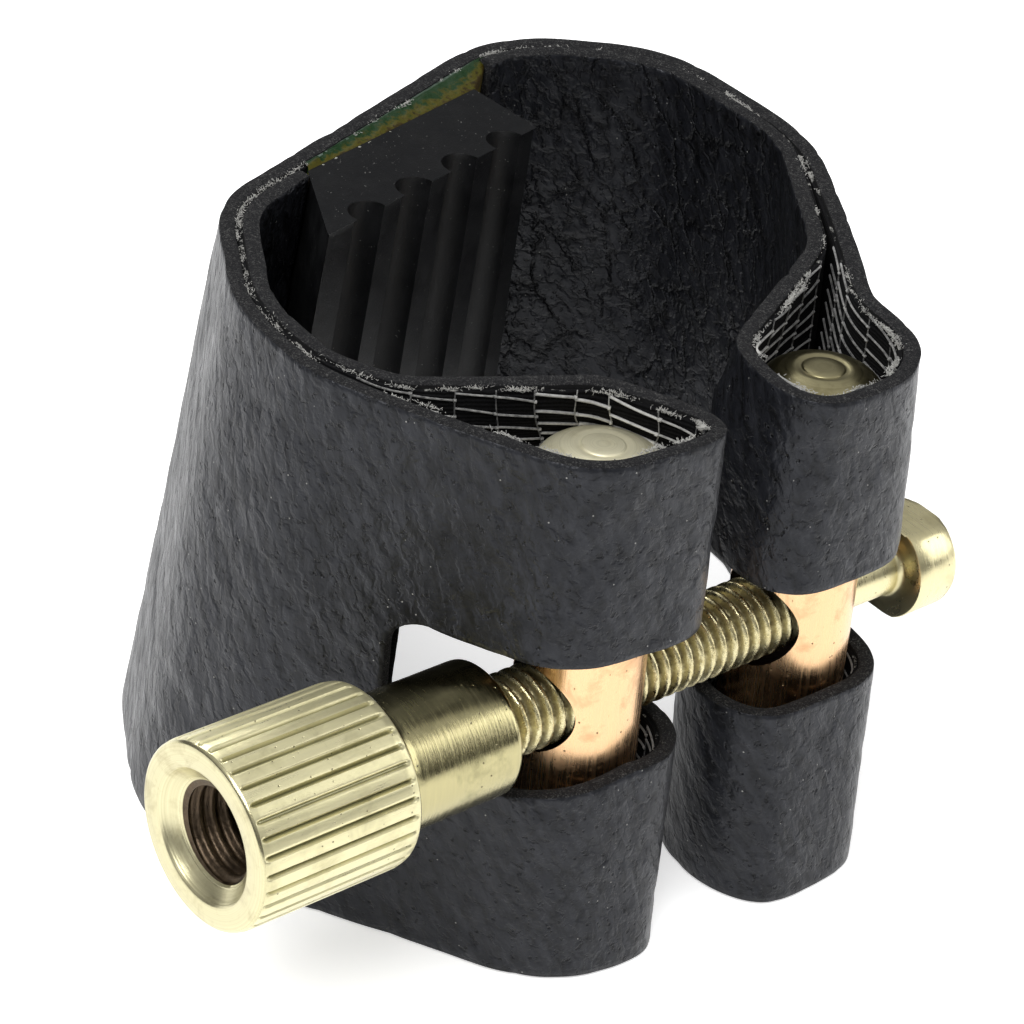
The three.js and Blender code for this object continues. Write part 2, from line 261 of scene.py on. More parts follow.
def offset_corners(corners, distance):
    """Moves every edge of an anticlockwise outline outwards by a distance."""
    moved = []
    for i, (x, y, r) in enumerate(corners):
        _, a, b = edges_at(corners, i)
        mitre = distance / (1 + a @ b)
        turn = np.sign(a[0] * b[1] - a[1] * b[0])
        moved.append((x + (a[1] + b[1]) * mitre, y - (a[0] + b[0]) * mitre, r + distance * turn))
    return moved


def back_wall_at(x, depth):
    """The point on the straight back wall at x, a given depth below its grain side."""
    right, left = (np.array(corner[:2]) for corner in OUTER_WALL[2:4])
    along = unit(right - left)
    return left + along * (x - left[0]) / along[0] + np.array([along[1], -along[0]]) * depth


def strip_corners(z):
    """Corners of the whole folded strip at a height: outside, near loop, inner lap, far loop."""
    k = min(max(int(np.searchsorted(LEVELS, z)) - 1, 0), len(LEVELS) - 2)
    t = smooth((z - LEVELS[k]) / (LEVELS[k + 1] - LEVELS[k]))

    def between(low_corners, high_corners):
        pairs = zip(low_corners, high_corners)
        return [tuple(p + (q - p) * t for p, q in zip(low, high)) for low, high in pairs]

    near = between(NEAR_LOOP[k] + [NEAR_JOIN[k]], NEAR_LOOP[k + 1] + [NEAR_JOIN[k + 1]])
    far = between([FAR_JOIN[k]] + FAR_LOOP[k], [FAR_JOIN[k + 1]] + FAR_LOOP[k + 1])
    inner = offset_corners([far[-1]] + OUTER_WALL + [near[0]], -WALL)[1:-1][::-1]
    outer = OUTER_WALL[:3] + [(*back_wall_at(SPLIT_X, 0), 1.0)] + OUTER_WALL[3:]
    inner = inner[:3] + [(*back_wall_at(x, WALL), 1.0) for x in BAY] + inner[3:]
    return outer + near + inner + far


def corner_arc(corners, i):
    """Points round one corner's arc."""
    p, a, b = edges_at(corners, i)
    r = corners[i][2]
    turn = math.atan2(a[0] * b[1] - a[1] * b[0], a @ b)
    if abs(turn) < 1e-4:
        return p[None]
    side = math.copysign(r, turn)
    centre = p - a * r * math.tan(abs(turn) / 2) + np.array([-a[1], a[0]]) * side
    angle = np.linspace(0, turn, ARC_STEPS)
    start = -np.array([-a[1], a[0]]) * side
    x = start[0] * np.cos(angle) - start[1] * np.sin(angle)
    y = start[0] * np.sin(angle) + start[1] * np.cos(angle)
    return centre + np.stack([x, y], 1)


def outline_stations(corners, counts=None):
    """Stations round an outline, a set number between the middles of neighbouring corners."""
    arcs = [corner_arc(corners, i) for i in range(len(corners))]
    stretches = []
    for a, b in zip(arcs, arcs[1:] + arcs[:1]):
        stretches.append(np.concatenate([a[len(a) // 2 :], b[: len(b) // 2 + 1]]))
    runs = [np.concatenate([[0], np.cumsum(np.linalg.norm(np.diff(p, axis=0), axis=1))]) for p in stretches]
    if counts is None:
        counts = [max(2, round(run[-1] / SHEET_STEP)) for run in runs]
    stations = []
    for p, run, count in zip(stretches, runs, counts):
        t = np.linspace(0, run[-1], count + 1)[:-1]
        stations.append(np.stack([np.interp(t, run, p[:, 0]), np.interp(t, run, p[:, 1])], 1))
    return np.concatenate(stations), counts


def taper(p, z):
    """Leans the front back with the bars, and brings the sides and back in towards the top."""
    side = smooth((p[..., 1] - TAPER_Y[0]) / (TAPER_Y[1] - TAPER_Y[0]))
    x = TAPER_MIDDLE + (p[..., 0] - TAPER_MIDDLE) * (1 - SIDE_TAPER * z * side)
    y = p[..., 1] * (1 - BACK_TAPER * z) + z * math.tan(LEAN)
    return np.stack([x, y, np.broadcast_to(z, x.shape)], -1)


def build_sheet():
    """The grain side of the whole strip as a grid, from the middle of the pad's bay round to it again."""
    heights = np.linspace(RIM_BOTTOM, RIM_TOP, round((RIM_TOP - RIM_BOTTOM) / SHEET_STEP) + 1)
    counts = outline_stations(strip_corners(0.0))[1]
    rows = np.stack([outline_stations(strip_corners(z), counts)[0] for z in heights])
    reach = np.arange(-BLUR_REACH, BLUR_REACH + 1)
    kernel = np.exp(-0.5 * (reach / BLUR_WIDTH) ** 2)
    rows = sum(w * np.roll(rows, k, axis=1) for w, k in zip(kernel / kernel.sum(), reach))
    points = np.stack([taper(row, z) for row, z in zip(rows, heights)])
    along = np.roll(points, -1, axis=1) - np.roll(points, 1, axis=1)
    up = np.gradient(points, axis=0)
    normals = units(np.cross(along, up))
    bay_middle = back_wall_at(sum(BAY) / 2, WALL)
    first = nearest_station(points, bay_middle)
    points, normals = (np.roll(grid, -first, axis=1) for grid in (points, normals))
    middle_row = points[len(heights) // 2]
    steps = np.linalg.norm(np.diff(middle_row, axis=0), axis=1)
    return {"points": points, "normals": normals, "s": np.concatenate([[0], np.cumsum(steps)])}


def nearest_station(points, xy):
    """Number of the grid's station nearest a point at the screw's height."""
    row = points[round(-RIM_BOTTOM / SHEET_STEP)]
    return int(np.argmin(np.linalg.norm(row[:, :2] - np.asarray(xy), axis=1)))


SHEET = build_sheet()


def station(xy):
    """Distance along the strip of the station nearest a point at the screw's height."""
    return float(SHEET["s"][nearest_station(SHEET["points"], xy)])


def on_strip(s, z, depth):
    """Point and outward normal on the strip, s along it, z up, at a depth below its grain side."""
    s, z, depth = np.broadcast_arrays(s, z, depth)
    rows, columns = SHEET["points"].shape[:2]
    u = np.clip(np.interp(s, SHEET["s"], np.arange(columns)), 0, columns - 1.001)
    v = np.clip((z - RIM_BOTTOM) / (RIM_TOP - RIM_BOTTOM) * (rows - 1), 0, rows - 1.001)
    i, j = u.astype(int), v.astype(int)
    fu, fv = (u - i)[..., None], (v - j)[..., None]

    def blend(grid):
        low = grid[j, i] * (1 - fu) + grid[j, i + 1] * fu
        high = grid[j + 1, i] * (1 - fu) + grid[j + 1, i + 1] * fu
        return low * (1 - fv) + high * fv

    normal = units(blend(SHEET["normals"]))
    beyond = np.maximum(z - RIM_TOP, 0) + np.minimum(z - RIM_BOTTOM, 0)
    point = blend(SHEET["points"]) - normal * depth[..., None]
    point[..., 2] += beyond
    return point, normal


S_FAR_START = station(back_wall_at(BAY[1], WALL))
S_FAR_TIP = station((8.0, 1.6))
S_SPLIT = station(back_wall_at(SPLIT_X, 0))
S_NEAR_TIP = station((3.4, 3.0))
S_NEAR_END = station(back_wall_at(BAY[0], WALL))
S_NEAR_FRONT = station((0.0, -4.6))


def make_slot(ends, turns, bottom):
    """A slot between two points. bottom gives its lower edge's height at its ends and turns."""
    start, end = (station(xy) for xy in ends)
    return {"start": start, "end": end, "along": [start, *turns, end], "bottom": bottom}


NEAR_TURNS = [station(NEAR_SLOT_ENDS[0]) + 5.5, S_NEAR_FRONT, S_NEAR_TIP]
NEAR_SLOT = make_slot(NEAR_SLOT_ENDS, NEAR_TURNS, [-3.3, -3.1, -1.95, -2.3, -2.5])
FAR_SLOT = make_slot(FAR_SLOT_ENDS, [], [-2.4, -2.4])


def slot_distance(slot, s, z):
    """Signed distance to a slot's edge in the strip's plane, negative inside."""
    low = np.interp(s, slot["along"], slot["bottom"])
    half_height = (SLOT_TOP - low) / 2
    half_length = (slot["end"] - slot["start"]) / 2
    across = np.abs(s - slot["start"] - half_length) - half_length + SLOT_CORNER
    up = np.abs(z - low - half_height) - half_height + SLOT_CORNER
    outside = np.hypot(np.maximum(across, 0), np.maximum(up, 0))
    return outside + np.minimum(np.maximum(across, up), 0) - SLOT_CORNER


SNAP_ROUNDS = 3


def snap_to_slot(slot, s, z, reach, margin=0.0):
    """Moves points near a slot's edge onto it, and gives -1 inside, 0 on the edge, 1 outside."""
    distance = slot_distance(slot, s, z) - margin
    near = np.abs(distance) < reach
    step = 0.01
    for _ in range(SNAP_ROUNDS):
        here = slot_distance(slot, s, z) - margin
        slope_s = (slot_distance(slot, s + step, z) - margin - here) / step
        slope_z = (slot_distance(slot, s, z + step) - margin - here) / step
        s = np.where(near, s - here * slope_s, s)
        z = np.where(near, z - here * slope_z, z)
    return s, z, np.where(near, 0, np.sign(distance))


def trimmed(quads, state, centres_in):
    """Faces of a grid outside an opening, with a triangle where one corner lies inside it."""
    states = state[quads]
    inside = (states < 0).sum(1)
    whole = (inside == 0) & ~((states == 0).all(1) & centres_in)
    faces = quads[whole].tolist()
    corner = quads[(inside == 1) & ((states > 0).sum(1) > 0)]
    for quad in corner:
        faces.append([v for v in quad if state[v] >= 0])
    return faces


def boundary_edges(faces, count):
    """Directed edges used by only one face."""
    edges = np.concatenate([np.stack([f, f[1:] + f[:1]], 1) for f in faces])
    keys = edges[:, 0].astype(np.int64) * count + edges[:, 1]
    reverse = edges[:, 1].astype(np.int64) * count + edges[:, 0]
    return edges[~np.isin(keys, reverse)]


# ---- leather and backing -------------------------------------------------------------------


def inner_share(s):
    """1 on the strip's inner lap, 0 outside, changing round the loops' tips."""
    far = 1 - smooth((s - S_FAR_TIP + 3) / 4)
    near = smooth((s - S_NEAR_TIP - 1) / 4)
    return np.maximum(far, near)


def grain_relief(s, z):
    """Height of the leather's soft pebbles and creases over the smooth sheet."""
    slant = np.radians(38)
    along = s * np.cos(slant) - z * np.sin(slant)
    across = s * np.sin(slant) + z * np.cos(slant)
    pebbles = 0.014 * noise(s / 0.8, z / 0.75, SEED) + 0.026 * noise(along / 1.9, across / 1.1, SEED + 1)
    fold = noise(along / 7.0, across / 2.6, SEED + 2)
    crease = -0.07 * (1 - np.abs(fold)) ** 9
    crack = noise(s / 2.6, z / 2.4, SEED + 3)
    cracked = -0.09 * (1 - np.abs(crack)) ** 8 * inner_share(s)
    waves = 0.05 * noise(s / 8, z / 6, SEED + 4)
    return pebbles + crease + cracked + waves


# A rounded cut edge: each ring's share of the thickness and of the edge's bulge.
RINGS = [(0.06, 0.35), (0.3, 0.9), (0.65, 1.0), (0.92, 0.45)]
SNAP_REACH = 0.52  # how far points may move to a slot's edge, over the grid's step
SPLIT_REACH = 0.3  # how far from the split points still count as on it, over the grid's step


def strip_grid(s_range, slot, step, inset):
    """Points and faces of a stretch of the strip, flat, with its slot cut out."""
    low, high = RIM_BOTTOM + inset, RIM_TOP - inset
    columns = round((s_range[1] - s_range[0]) / step) + 1
    rows = round((high - low) / step) + 1
    s, z = np.meshgrid(np.linspace(*s_range, columns), np.linspace(low, high, rows))
    s, z = s.ravel(), z.ravel()
    quads = grid_faces(rows, columns, cyclic=False)
    centres_in = slot_distance(slot, s[quads].mean(1), z[quads].mean(1)) < inset
    s, z, state = snap_to_slot(slot, s, z, SNAP_REACH * step, inset)
    faces, used = compacted(trimmed(quads, state, centres_in), len(s))
    return s[used], z[used], faces


def strip_shell(name, s_range, slot, looks, step, depths, inset=0.0, bulge=0.07, relief=True):
    """A closed layer of the strip with rounded cut edges. Its end at the split stays flat and crisp."""
    s, z, faces = strip_grid(s_range, slot, step, inset)
    count = len(s)
    grain, normal = on_strip(s, z, depths[0])
    flesh, _ = on_strip(s, z, depths[1])
    if relief:
        grain = grain + normal * grain_relief(s, z)[:, None]
        flesh = flesh - normal * (0.03 * noise(s / 0.9, z / 0.9, SEED + 5))[:, None]

    edges = boundary_edges(faces, count)
    rim = np.unique(edges)
    out = np.zeros((count, 3))
    sideways = units(np.cross(grain[edges[:, 1]] - grain[edges[:, 0]], normal[edges[:, 0]]))
    for end in (0, 1):
        np.add.at(out, edges[:, end], sideways)
    out = units(out)
    at_split = np.abs(s - S_SPLIT) < SPLIT_REACH * step
    swell = bulge * (0.75 + 0.5 * noise(s * 2.3 + 40, z * 2.3, SEED + 6)) * ~at_split
    place = np.full(count, -1)
    place[rim] = np.arange(len(rim))
    points = [grain, flesh]
    attributes = [(s, z, np.full(count, depths[0])), (s, z, np.full(count, depths[1]))]
    for share, fullness in RINGS:
        ring = grain[rim] + (flesh[rim] - grain[rim]) * share
        points.append(ring + out[rim] * (swell[rim] * fullness)[:, None])
        depth = depths[0] + (depths[1] - depths[0]) * share
        attributes.append((s[rim], z[rim], np.full(len(rim), depth)))

    layers = [lambda v: v]
    for k in range(len(RINGS)):
        layers.append(lambda v, k=k: 2 * count + k * len(rim) + place[v])
    layers.append(lambda v: v + count)
    walls = []
    for a, b in zip(layers, layers[1:]):
        walls += np.stack([a(edges[:, 1]), a(edges[:, 0]), b(edges[:, 0]), b(edges[:, 1])], 1).tolist()
    back = [[v + count for v in reversed(f)] for f in faces]
    marks = [0] * len(faces) + [1] * len(back) + [2] * len(walls)
    obj = make_piece(name, np.concatenate(points), faces + back + walls, looks, marks)
    all_s, all_z, all_depths = (np.concatenate(parts) for parts in zip(*attributes))
    add_attribute(obj, "strip", np.stack([all_s, all_z, all_depths], 1))
    add_attribute(obj, "inner", inner_share(all_s))
    crisp_split(obj, all_s, SPLIT_REACH * step)
    return obj


def crisp_split(obj, s, reach):
    """Marks the edges where the strip is divided as sharp, so the shading runs straight across."""
    mesh = obj.data
    ends = np.empty(len(mesh.edges) * 2, dtype=np.int32)
    mesh.edges.foreach_get("vertices", ends)
    on_split = (np.abs(s[ends.reshape(-1, 2)] - S_SPLIT) < reach).all(1)
    attribute = mesh.attributes.get("sharp_edge") or mesh.attributes.new("sharp_edge", "BOOLEAN", "EDGE")
    attribute.data.foreach_set("value", on_split)


# ---- threads and fibres --------------------------------------------------------------------


class Strands:
    """Collects thin tubes into one mesh."""

    def __init__(self):
        self.points, self.faces, self.shade, self.count = [], [], [], 0

    def add(self, path, side, radius, sides, shade):
        """A tube along a path. side is a direction away from the surface at each point."""
        path = np.asarray(path)
        tangent = units(np.gradient(path, axis=0))
        across = units(np.cross(tangent, side))
        away = np.cross(across, tangent)
        angle = angles(sides)[:, None, None]
        ring = np.cos(angle) * away + np.sin(angle) * across
        width = np.broadcast_to(radius, len(path))[None, :, None]
        tube = (path[None] + ring * width).transpose(1, 0, 2).reshape(-1, 3)
        self.points.append(tube)
        self.faces += (grid_faces(len(path), sides) + self.count).tolist()
        self.faces += end_caps(len(path), sides, self.count)
        self.shade.append(np.full(len(tube), shade))
        self.count += len(tube)

    def build(self, name, look):
        obj = make_piece(name, np.concatenate(self.points), self.faces, [look])
        add_attribute(obj, "shade", np.concatenate(self.shade))
        return obj


NET_DEPTH = 0.99
NET_PITCH = 0.8
NET_CELL = 2.2
SLOT_CLEARANCE = 0.3
RIM_CLEARANCE = 0.06
UPRIGHT_RADIUS = 0.032


def knit_net(strands, s_range, slot, bright_at, seed):
    """A net on the strip's inside: fine threads up the strip, joined by slanting stouter ones."""
    random = np.random.default_rng(seed)
    columns = np.arange(s_range[0], s_range[1], NET_CELL) + random.uniform(-0.15, 0.15)

    def lay(s, z, radius, shade):
        free = slot_distance(slot, s, z) > SLOT_CLEARANCE
        free &= (z < RIM_TOP - RIM_CLEARANCE) & (z > RIM_BOTTOM + RIM_CLEARANCE)
        ends = np.flatnonzero(np.diff(np.concatenate([[0], free, [0]])))
        for start, stop in zip(ends[::2], ends[1::2]):
            if stop - start > 2:
                part = slice(start, stop)
                points, normals = on_strip(s[part], z[part], NET_DEPTH)
                strands.add(points, -normals, radius, 5, shade)

    def brightness(s):
        return 0.75 * math.exp(-(((s - bright_at) / 3.2) ** 2))

    for k, column in enumerate(columns):
        z = np.arange(RIM_BOTTOM + 0.1, RIM_TOP, 0.4)
        sway = 0.12 * noise(z / 1.3, np.full_like(z, k * 5.1), seed + 1)
        lay(column + sway, z, UPRIGHT_RADIUS, 0.12 + 0.6 * brightness(column))
        stagger = NET_PITCH * (0.3 if k % 2 else 0.0)
        for level in np.arange(RIM_TOP - 0.25 - stagger, RIM_BOTTOM, -NET_PITCH):
            t = np.linspace(0, 1, 7)
            low = level + random.uniform(-0.09, 0.09)
            rise = -0.22 + random.uniform(-0.1, 0.1)
            sag = 0.05 * np.sin(math.pi * t) * random.uniform(-1, 1)
            shade = 0.3 + brightness(column + NET_CELL / 2) + random.uniform(-0.08, 0.12)
            width = (0.045 + 0.035 * brightness(column)) * (1 + 0.35 * np.abs(2 * t - 1) ** 3)
            radius = float(width.mean())
            lay(column + t * NET_CELL, low + rise * (0.5 - t) + sag, radius, shade)
            knot = column + np.array([-0.07, 0, 0.07])
            lay(knot, np.full(3, low + rise * 0.5), radius * 1.5, min(shade + 0.15, 1.0))


def fuzz(strands, spots, seed, length=(0.04, 0.15), radius=0.013):
    """Fine loose fibres. Each spot gives s, z, depth, spread along s, count and upward lean."""
    random = np.random.default_rng(seed)
    t = np.linspace(0, 1, 4)[:, None]
    for s, z, depth, spread, count, lean in spots:
        for _ in range(count):
            root_s = s + random.normal(0, spread)
            root, normal = on_strip(root_s, z, depth + random.normal(0, 0.06))
            heading = unit(np.array([0, 0, lean]) + random.normal(0, 0.7, 3))
            curl = random.normal(0, 0.45, 3)
            reach = random.uniform(*length)
            path = root + heading * t * reach + curl * t * t * reach * 0.5
            strands.add(path, np.broadcast_to(normal, path.shape), radius, 3, random.uniform(0.55, 1.0))


LOOP_CLUMPS = 16
LOOP_CLUMP_DEPTHS = (0.9, 1.1)


def rim_spots(s_range, seed, clumps, depths=(0.7, 0.95)):
    """Places for clumps of fibre along the upper rim."""
    random = np.random.default_rng(seed)
    spots = []
    for _ in range(clumps):
        s = random.uniform(*s_range)
        depth = random.uniform(*depths)
        spread = random.uniform(0.15, 0.6)
        count = int(random.uniform(15, 80))
        spots.append((s, RIM_TOP - 0.05, depth, spread, count, 0.3))
    return spots


# ---- pad and adhesive ----------------------------------------------------------------------


def place_pad(points):
    """Points given as (along the pad's back, inwards from it), put in place on the back wall."""
    cos, sin = math.cos(PAD_TURN), math.sin(PAD_TURN)
    return np.stack([points[:, 0], -points[:, 1]], 1) @ [[cos, sin], [-sin, cos]] + np.array(PAD_CORNER)


def pad_outline():
    """The pad's section seen from above, with its flutes along the inner side."""
    points = [(PAD_LENGTH, 0), (0, 0), (PAD_LEFT_SLANT, PAD_THICK)]
    for k in range(FLUTE_COUNT):
        centre = FLUTE_FIRST + k * FLUTE_PITCH
        for angle in np.linspace(0, math.pi, FLUTE_STEPS):
            along = centre - FLUTE_RADIUS * math.cos(angle)
            points.append((along, PAD_THICK - FLUTE_RADIUS * math.sin(angle)))
    points.append((PAD_LENGTH + PAD_RIGHT_SLANT, PAD_THICK))
    return np.array(points)


def inset_ring(outline, distance, counts):
    """Points round an anticlockwise outline moved inwards, with a set number along each edge."""
    corners = offset_corners([(x, y, 0.0) for x, y in outline], -distance)
    moved = np.array([corner[:2] for corner in corners])
    ring = []
    for a, b, count in zip(moved, np.roll(moved, -1, axis=0), counts):
        ring += [a + (b - a) * k / count for k in range(count)]
    return np.array(ring)


PAD_BEVEL = [(0.12, 0.0), (0.04, 0.04), (0.0, 0.14)]  # inset and rise, from the end inwards
PAD_ROWS = 60


def ribbed_pad(looks):
    """The pad with bevelled ends and a slight swell. looks: its ends, then its sides."""
    outline = place_pad(pad_outline())[::-1]
    edges = np.linalg.norm(np.roll(outline, -1, axis=0) - outline, axis=1)
    counts = [max(1, round(edge / PAD_STEP)) for edge in edges]
    low, high = RIM_BOTTOM + PAD_DROP, RIM_TOP - PAD_DROP
    heights = [(low + rise, cut) for cut, rise in PAD_BEVEL]
    heights += [(z, 0.0) for z in np.linspace(low + 0.5, high - 0.5, PAD_ROWS)]
    heights += [(high - rise, cut) for cut, rise in reversed(PAD_BEVEL)]
    rows = []
    for z, cut in heights:
        row = taper(inset_ring(outline, cut, counts), z)
        run = np.arange(len(row)) * PAD_STEP
        swell = 0.03 * noise(run / 2.5, np.full(len(row), z / 3.0), SEED + 8)
        row[:, :2] += units(row[:, :2] - row[:, :2].mean(0)) * (swell * (cut == 0))[:, None]
        rows.append(row)
    count = len(rows[0])
    faces = grid_faces(len(rows), count).tolist() + end_caps(len(rows), count)
    marks = [1] * (len(faces) - 2) + [0, 0]
    obj = make_piece("pad", np.concatenate(rows), faces, looks, marks)
    for cap in obj.data.polygons[-2:]:
        cap.use_smooth = False
    mark_sharp(obj, 38)
    return obj


BACKING_RIM = RIM_TOP - BACKING_INSET
ADHESIVE_REACH = 1.19  # the wedge's length over the pad's length
ADHESIVE_DEPTH = BACKING[1] + 0.02
ADHESIVE_STATIONS = 118
ADHESIVE_COLUMNS = 9
BEADS = 7


def adhesive_ends(t):
    """Ends of the wedge's section on the pad and on the backing, t along the pad's back."""
    start, end = place_pad(np.array([[0.0, -0.03], [PAD_LENGTH, -0.03]]))
    inner = start + (end - start) * t
    return inner, back_wall_at(inner[0], ADHESIVE_DEPTH)


def adhesive_layer(looks):
    """The lumpy wedge between the pad and the outer layer, with pale beads along its top."""
    random = np.random.default_rng(SEED + 11)
    across = np.linspace(0, 1, ADHESIVE_COLUMNS)
    sections, shares = [], []
    low, high = RIM_BOTTOM + PAD_DROP + 0.1, RIM_TOP - PAD_DROP - 0.12
    for t in np.linspace(0, ADHESIVE_REACH, ADHESIVE_STATIONS):
        inner, outer = adhesive_ends(t)
        lip = back_wall_at(inner[0], LEATHER + 0.02)
        if t > 1:
            inner = outer + (inner - outer) * (1 - 0.8 * (t - 1) / (ADHESIVE_REACH - 1))
        top = []
        for a in across:
            p = lip + (inner - lip) * a
            lump = 0.16 * noise(t * 22, a * 2.0, SEED + 12) + 0.1 * noise(t * 60, a * 5.0, SEED + 13)
            z = BACKING_RIM + 0.05 + (0.6 * lump + 0.06) * math.sin(math.pi * a) - 0.16 * a
            top.append(taper(p, z))
        section = [taper(outer, low), taper(outer, BACKING_RIM + 0.02), *top, taper(inner, low)]
        sections.append(np.array(section))
        shares.append(np.concatenate([[0, 0], across, [1]]))
    count = len(sections[0])
    points = np.concatenate(sections)
    faces = grid_faces(len(sections), count).tolist() + end_caps(len(sections), count)
    marks = [0] * len(faces)
    share = np.concatenate(shares)
    all_points, total = [points], len(points)
    for _ in range(BEADS):
        inner, outer = adhesive_ends(random.uniform(0.06, 0.8))
        centre = taper(outer + (inner - outer) * random.uniform(0.9, 1.05), high + 0.1)
        size = random.uniform(0.03, 0.07)
        bead, bead_faces = blob(centre, size, random)
        all_points.append(bead)
        faces += (bead_faces + total).tolist()
        marks += [1] * len(bead_faces)
        share = np.concatenate([share, np.full(len(bead), 0.5)])
        total += len(bead)
    obj = make_piece("adhesive", np.concatenate(all_points), faces, looks, marks)
    add_attribute(obj, "share", share)
    return obj


def blob(centre, size, random):
    """A small lumpy drop."""
    rows, columns = 8, 12
    lat = np.linspace(-math.pi / 2 + 0.02, math.pi / 2 - 0.02, rows)[:, None]
    lon = np.linspace(0, 2 * math.pi, columns, endpoint=False)[None]
    wobble = 1 + 0.2 * np.sin(2 * lon + random.uniform(0, 6)) * np.cos(lat) + 0 * lat
    x = np.cos(lat) * np.cos(lon) * wobble * random.uniform(0.9, 1.8)
    y = np.cos(lat) * np.sin(lon) * wobble
    z = np.sin(lat) * np.ones_like(lon) * 0.7
    points = np.stack([x, y, z], -1).reshape(-1, 3) * size + centre
    return points, grid_faces(rows, columns)


# ---- turned brass parts --------------------------------------------------------------------


def lean_bar(points):
    """Leans a bar back about the screw's axis."""
    x, y, z = points.T
    cos, sin = math.cos(LEAN), math.sin(LEAN)
    return np.stack([x, y * cos + z * sin, z * cos - y * sin], 1)


BAR_SEGMENTS = 120
DOME_ROWS = 26
# The small disc and the groove round it at a dome's middle: radius and depth below the tip.
DOME_DISC = [(0.02, 0.0), (0.5, 0.0), (0.9, 0.0), (0.97, 0.02), (1.02, 0.07), (1.12, 0.07), (1.2, 0.05)]
HOLE_STEP = 0.155
HOLE_SNAP = 0.085  # how far points move to the hole's edge
HOLE_WALL_STEPS = 14


def bar_profile(hole):
    """Radius and height of a bar's rows, closer together across the hole."""
    dome = []
    for angle in np.linspace(0, math.pi / 2, DOME_ROWS):
        radius = DOME_FLAT + (BAR_RADIUS - DOME_FLAT) * math.sin(angle)
        ridge = 0.008 * math.sin(radius * 21.0) * math.cos(angle)
        dome.append((radius, DOME_RISE * (1 - math.cos(angle)) + ridge))
    end = DOME_DISC + dome[3:]
    fine = np.arange(-hole - 0.6, hole + 0.6, HOLE_STEP)
    side_low = np.linspace(BAR_BOTTOM + DOME_RISE + 0.4, fine[0] - 0.3, 12)
    side_high = np.linspace(fine[-1] + 0.3, BAR_TOP - DOME_RISE - 0.4, 12)
    profile = [(r, BAR_BOTTOM + rise) for r, rise in end]
    profile += [(BAR_RADIUS, z) for z in np.concatenate([side_low, fine, side_high])]
    profile += [(r, BAR_TOP - drop) for r, drop in reversed(end)]
    return np.array(profile).T


def hole_walls(points, edges):
    """The faces inside a cross hole, from its front rim to the back one, and their extra points."""
    rim = np.unique(edges)
    front = rim[points[rim, 0] > 0]
    back = rim[points[rim, 0] < 0]
    extra, chain = [], {}
    for v in front.tolist():
        gaps = np.linalg.norm(points[back][:, 1:] - points[v][1:], axis=1)
        w = int(back[np.argmin(gaps)])
        chain[v] = [v]
        for k in range(1, HOLE_WALL_STEPS):
            extra.append(points[v] + (points[w] - points[v]) * k / HOLE_WALL_STEPS)
            chain[v].append(len(points) + len(extra) - 1)
        chain[v].append(w)
    walls = []
    for a, b in edges.tolist():
        if a in chain:
            first, second = chain[a], chain[b]
            walls += [[second[k], first[k], first[k + 1], second[k + 1]] for k in range(HOLE_WALL_STEPS)]
    return walls, np.array(extra)


def bar(name, x, hole, looks):
    """A round bar with domed, ring-turned ends and a cross hole for the screw."""
    radius, z = bar_profile(hole)
    segments = BAR_SEGMENTS
    theta = angles(segments)
    side = np.abs(radius - BAR_RADIUS) < 1e-6
    t, zz = np.meshgrid(theta, z)
    r = np.broadcast_to(radius[:, None], t.shape).copy()
    u = r * np.sin(t)
    away = np.hypot(u, zz) - hole
    on_side = np.broadcast_to(side[:, None], t.shape)
    near = on_side & (np.abs(away) < HOLE_SNAP)
    scale = np.where(near, hole / np.maximum(np.hypot(u, zz), 1e-6), 1)
    u, zz = u * scale, zz * scale
    depth = np.sqrt(np.maximum(r * r - u * u, 0)) * np.sign(np.cos(t))
    state = np.where(near, 0, np.where(on_side & (away < 0), -1, 1)).ravel()
    points = np.stack([depth.ravel(), u.ravel(), zz.ravel()], 1)
    quads = grid_faces(len(z), segments)
    middle = points[quads].mean(1)
    faces = trimmed(quads, state, np.hypot(middle[:, 1], middle[:, 2]) < hole)
    faces, used = compacted(faces, len(points))
    points = points[used]
    marks = []
    for face in faces:
        face_radius = np.mean([math.hypot(*points[v][:2]) for v in face])
        marks.append(0 if abs(face_radius - BAR_RADIUS) < 0.02 else 1)
    top_row = len(used) - segments
    faces += [list(range(segments - 1, -1, -1)), list(range(top_row, top_row + segments))]
    marks += [1, 1]

    walls, extra = hole_walls(points, boundary_edges(faces, len(points)))
    upright = np.concatenate([points, extra])
    faces += walls
    marks += [2] * len(walls)
    obj = make_piece(name, lean_bar(upright) + np.array([x, 0, 0]), faces, looks, marks)
    mark_sharp(obj, 40)
    add_attribute(obj, "local", upright)
    return obj


def thread_height(phase):
    """0 at the thread's root and 1 at its crest, with a flat crest and a rounded root."""
    ramp = np.abs(((phase % 1) - 0.5) * 2)
    return smooth((ramp - 0.12) / 0.72)


def spun(rows, segments):
    """Points of a piece turned about the X axis: rows of x and radius, each a number or one per segment."""
    theta = angles(segments)
    out = []
    for x, radius in rows:
        x = np.broadcast_to(x, segments)
        out.append(np.stack([x, radius * np.cos(theta), radius * np.sin(theta)], 1))
    return np.concatenate(out)


SCREW_SEGMENTS = 56
TIP_RADIUS = 1.25


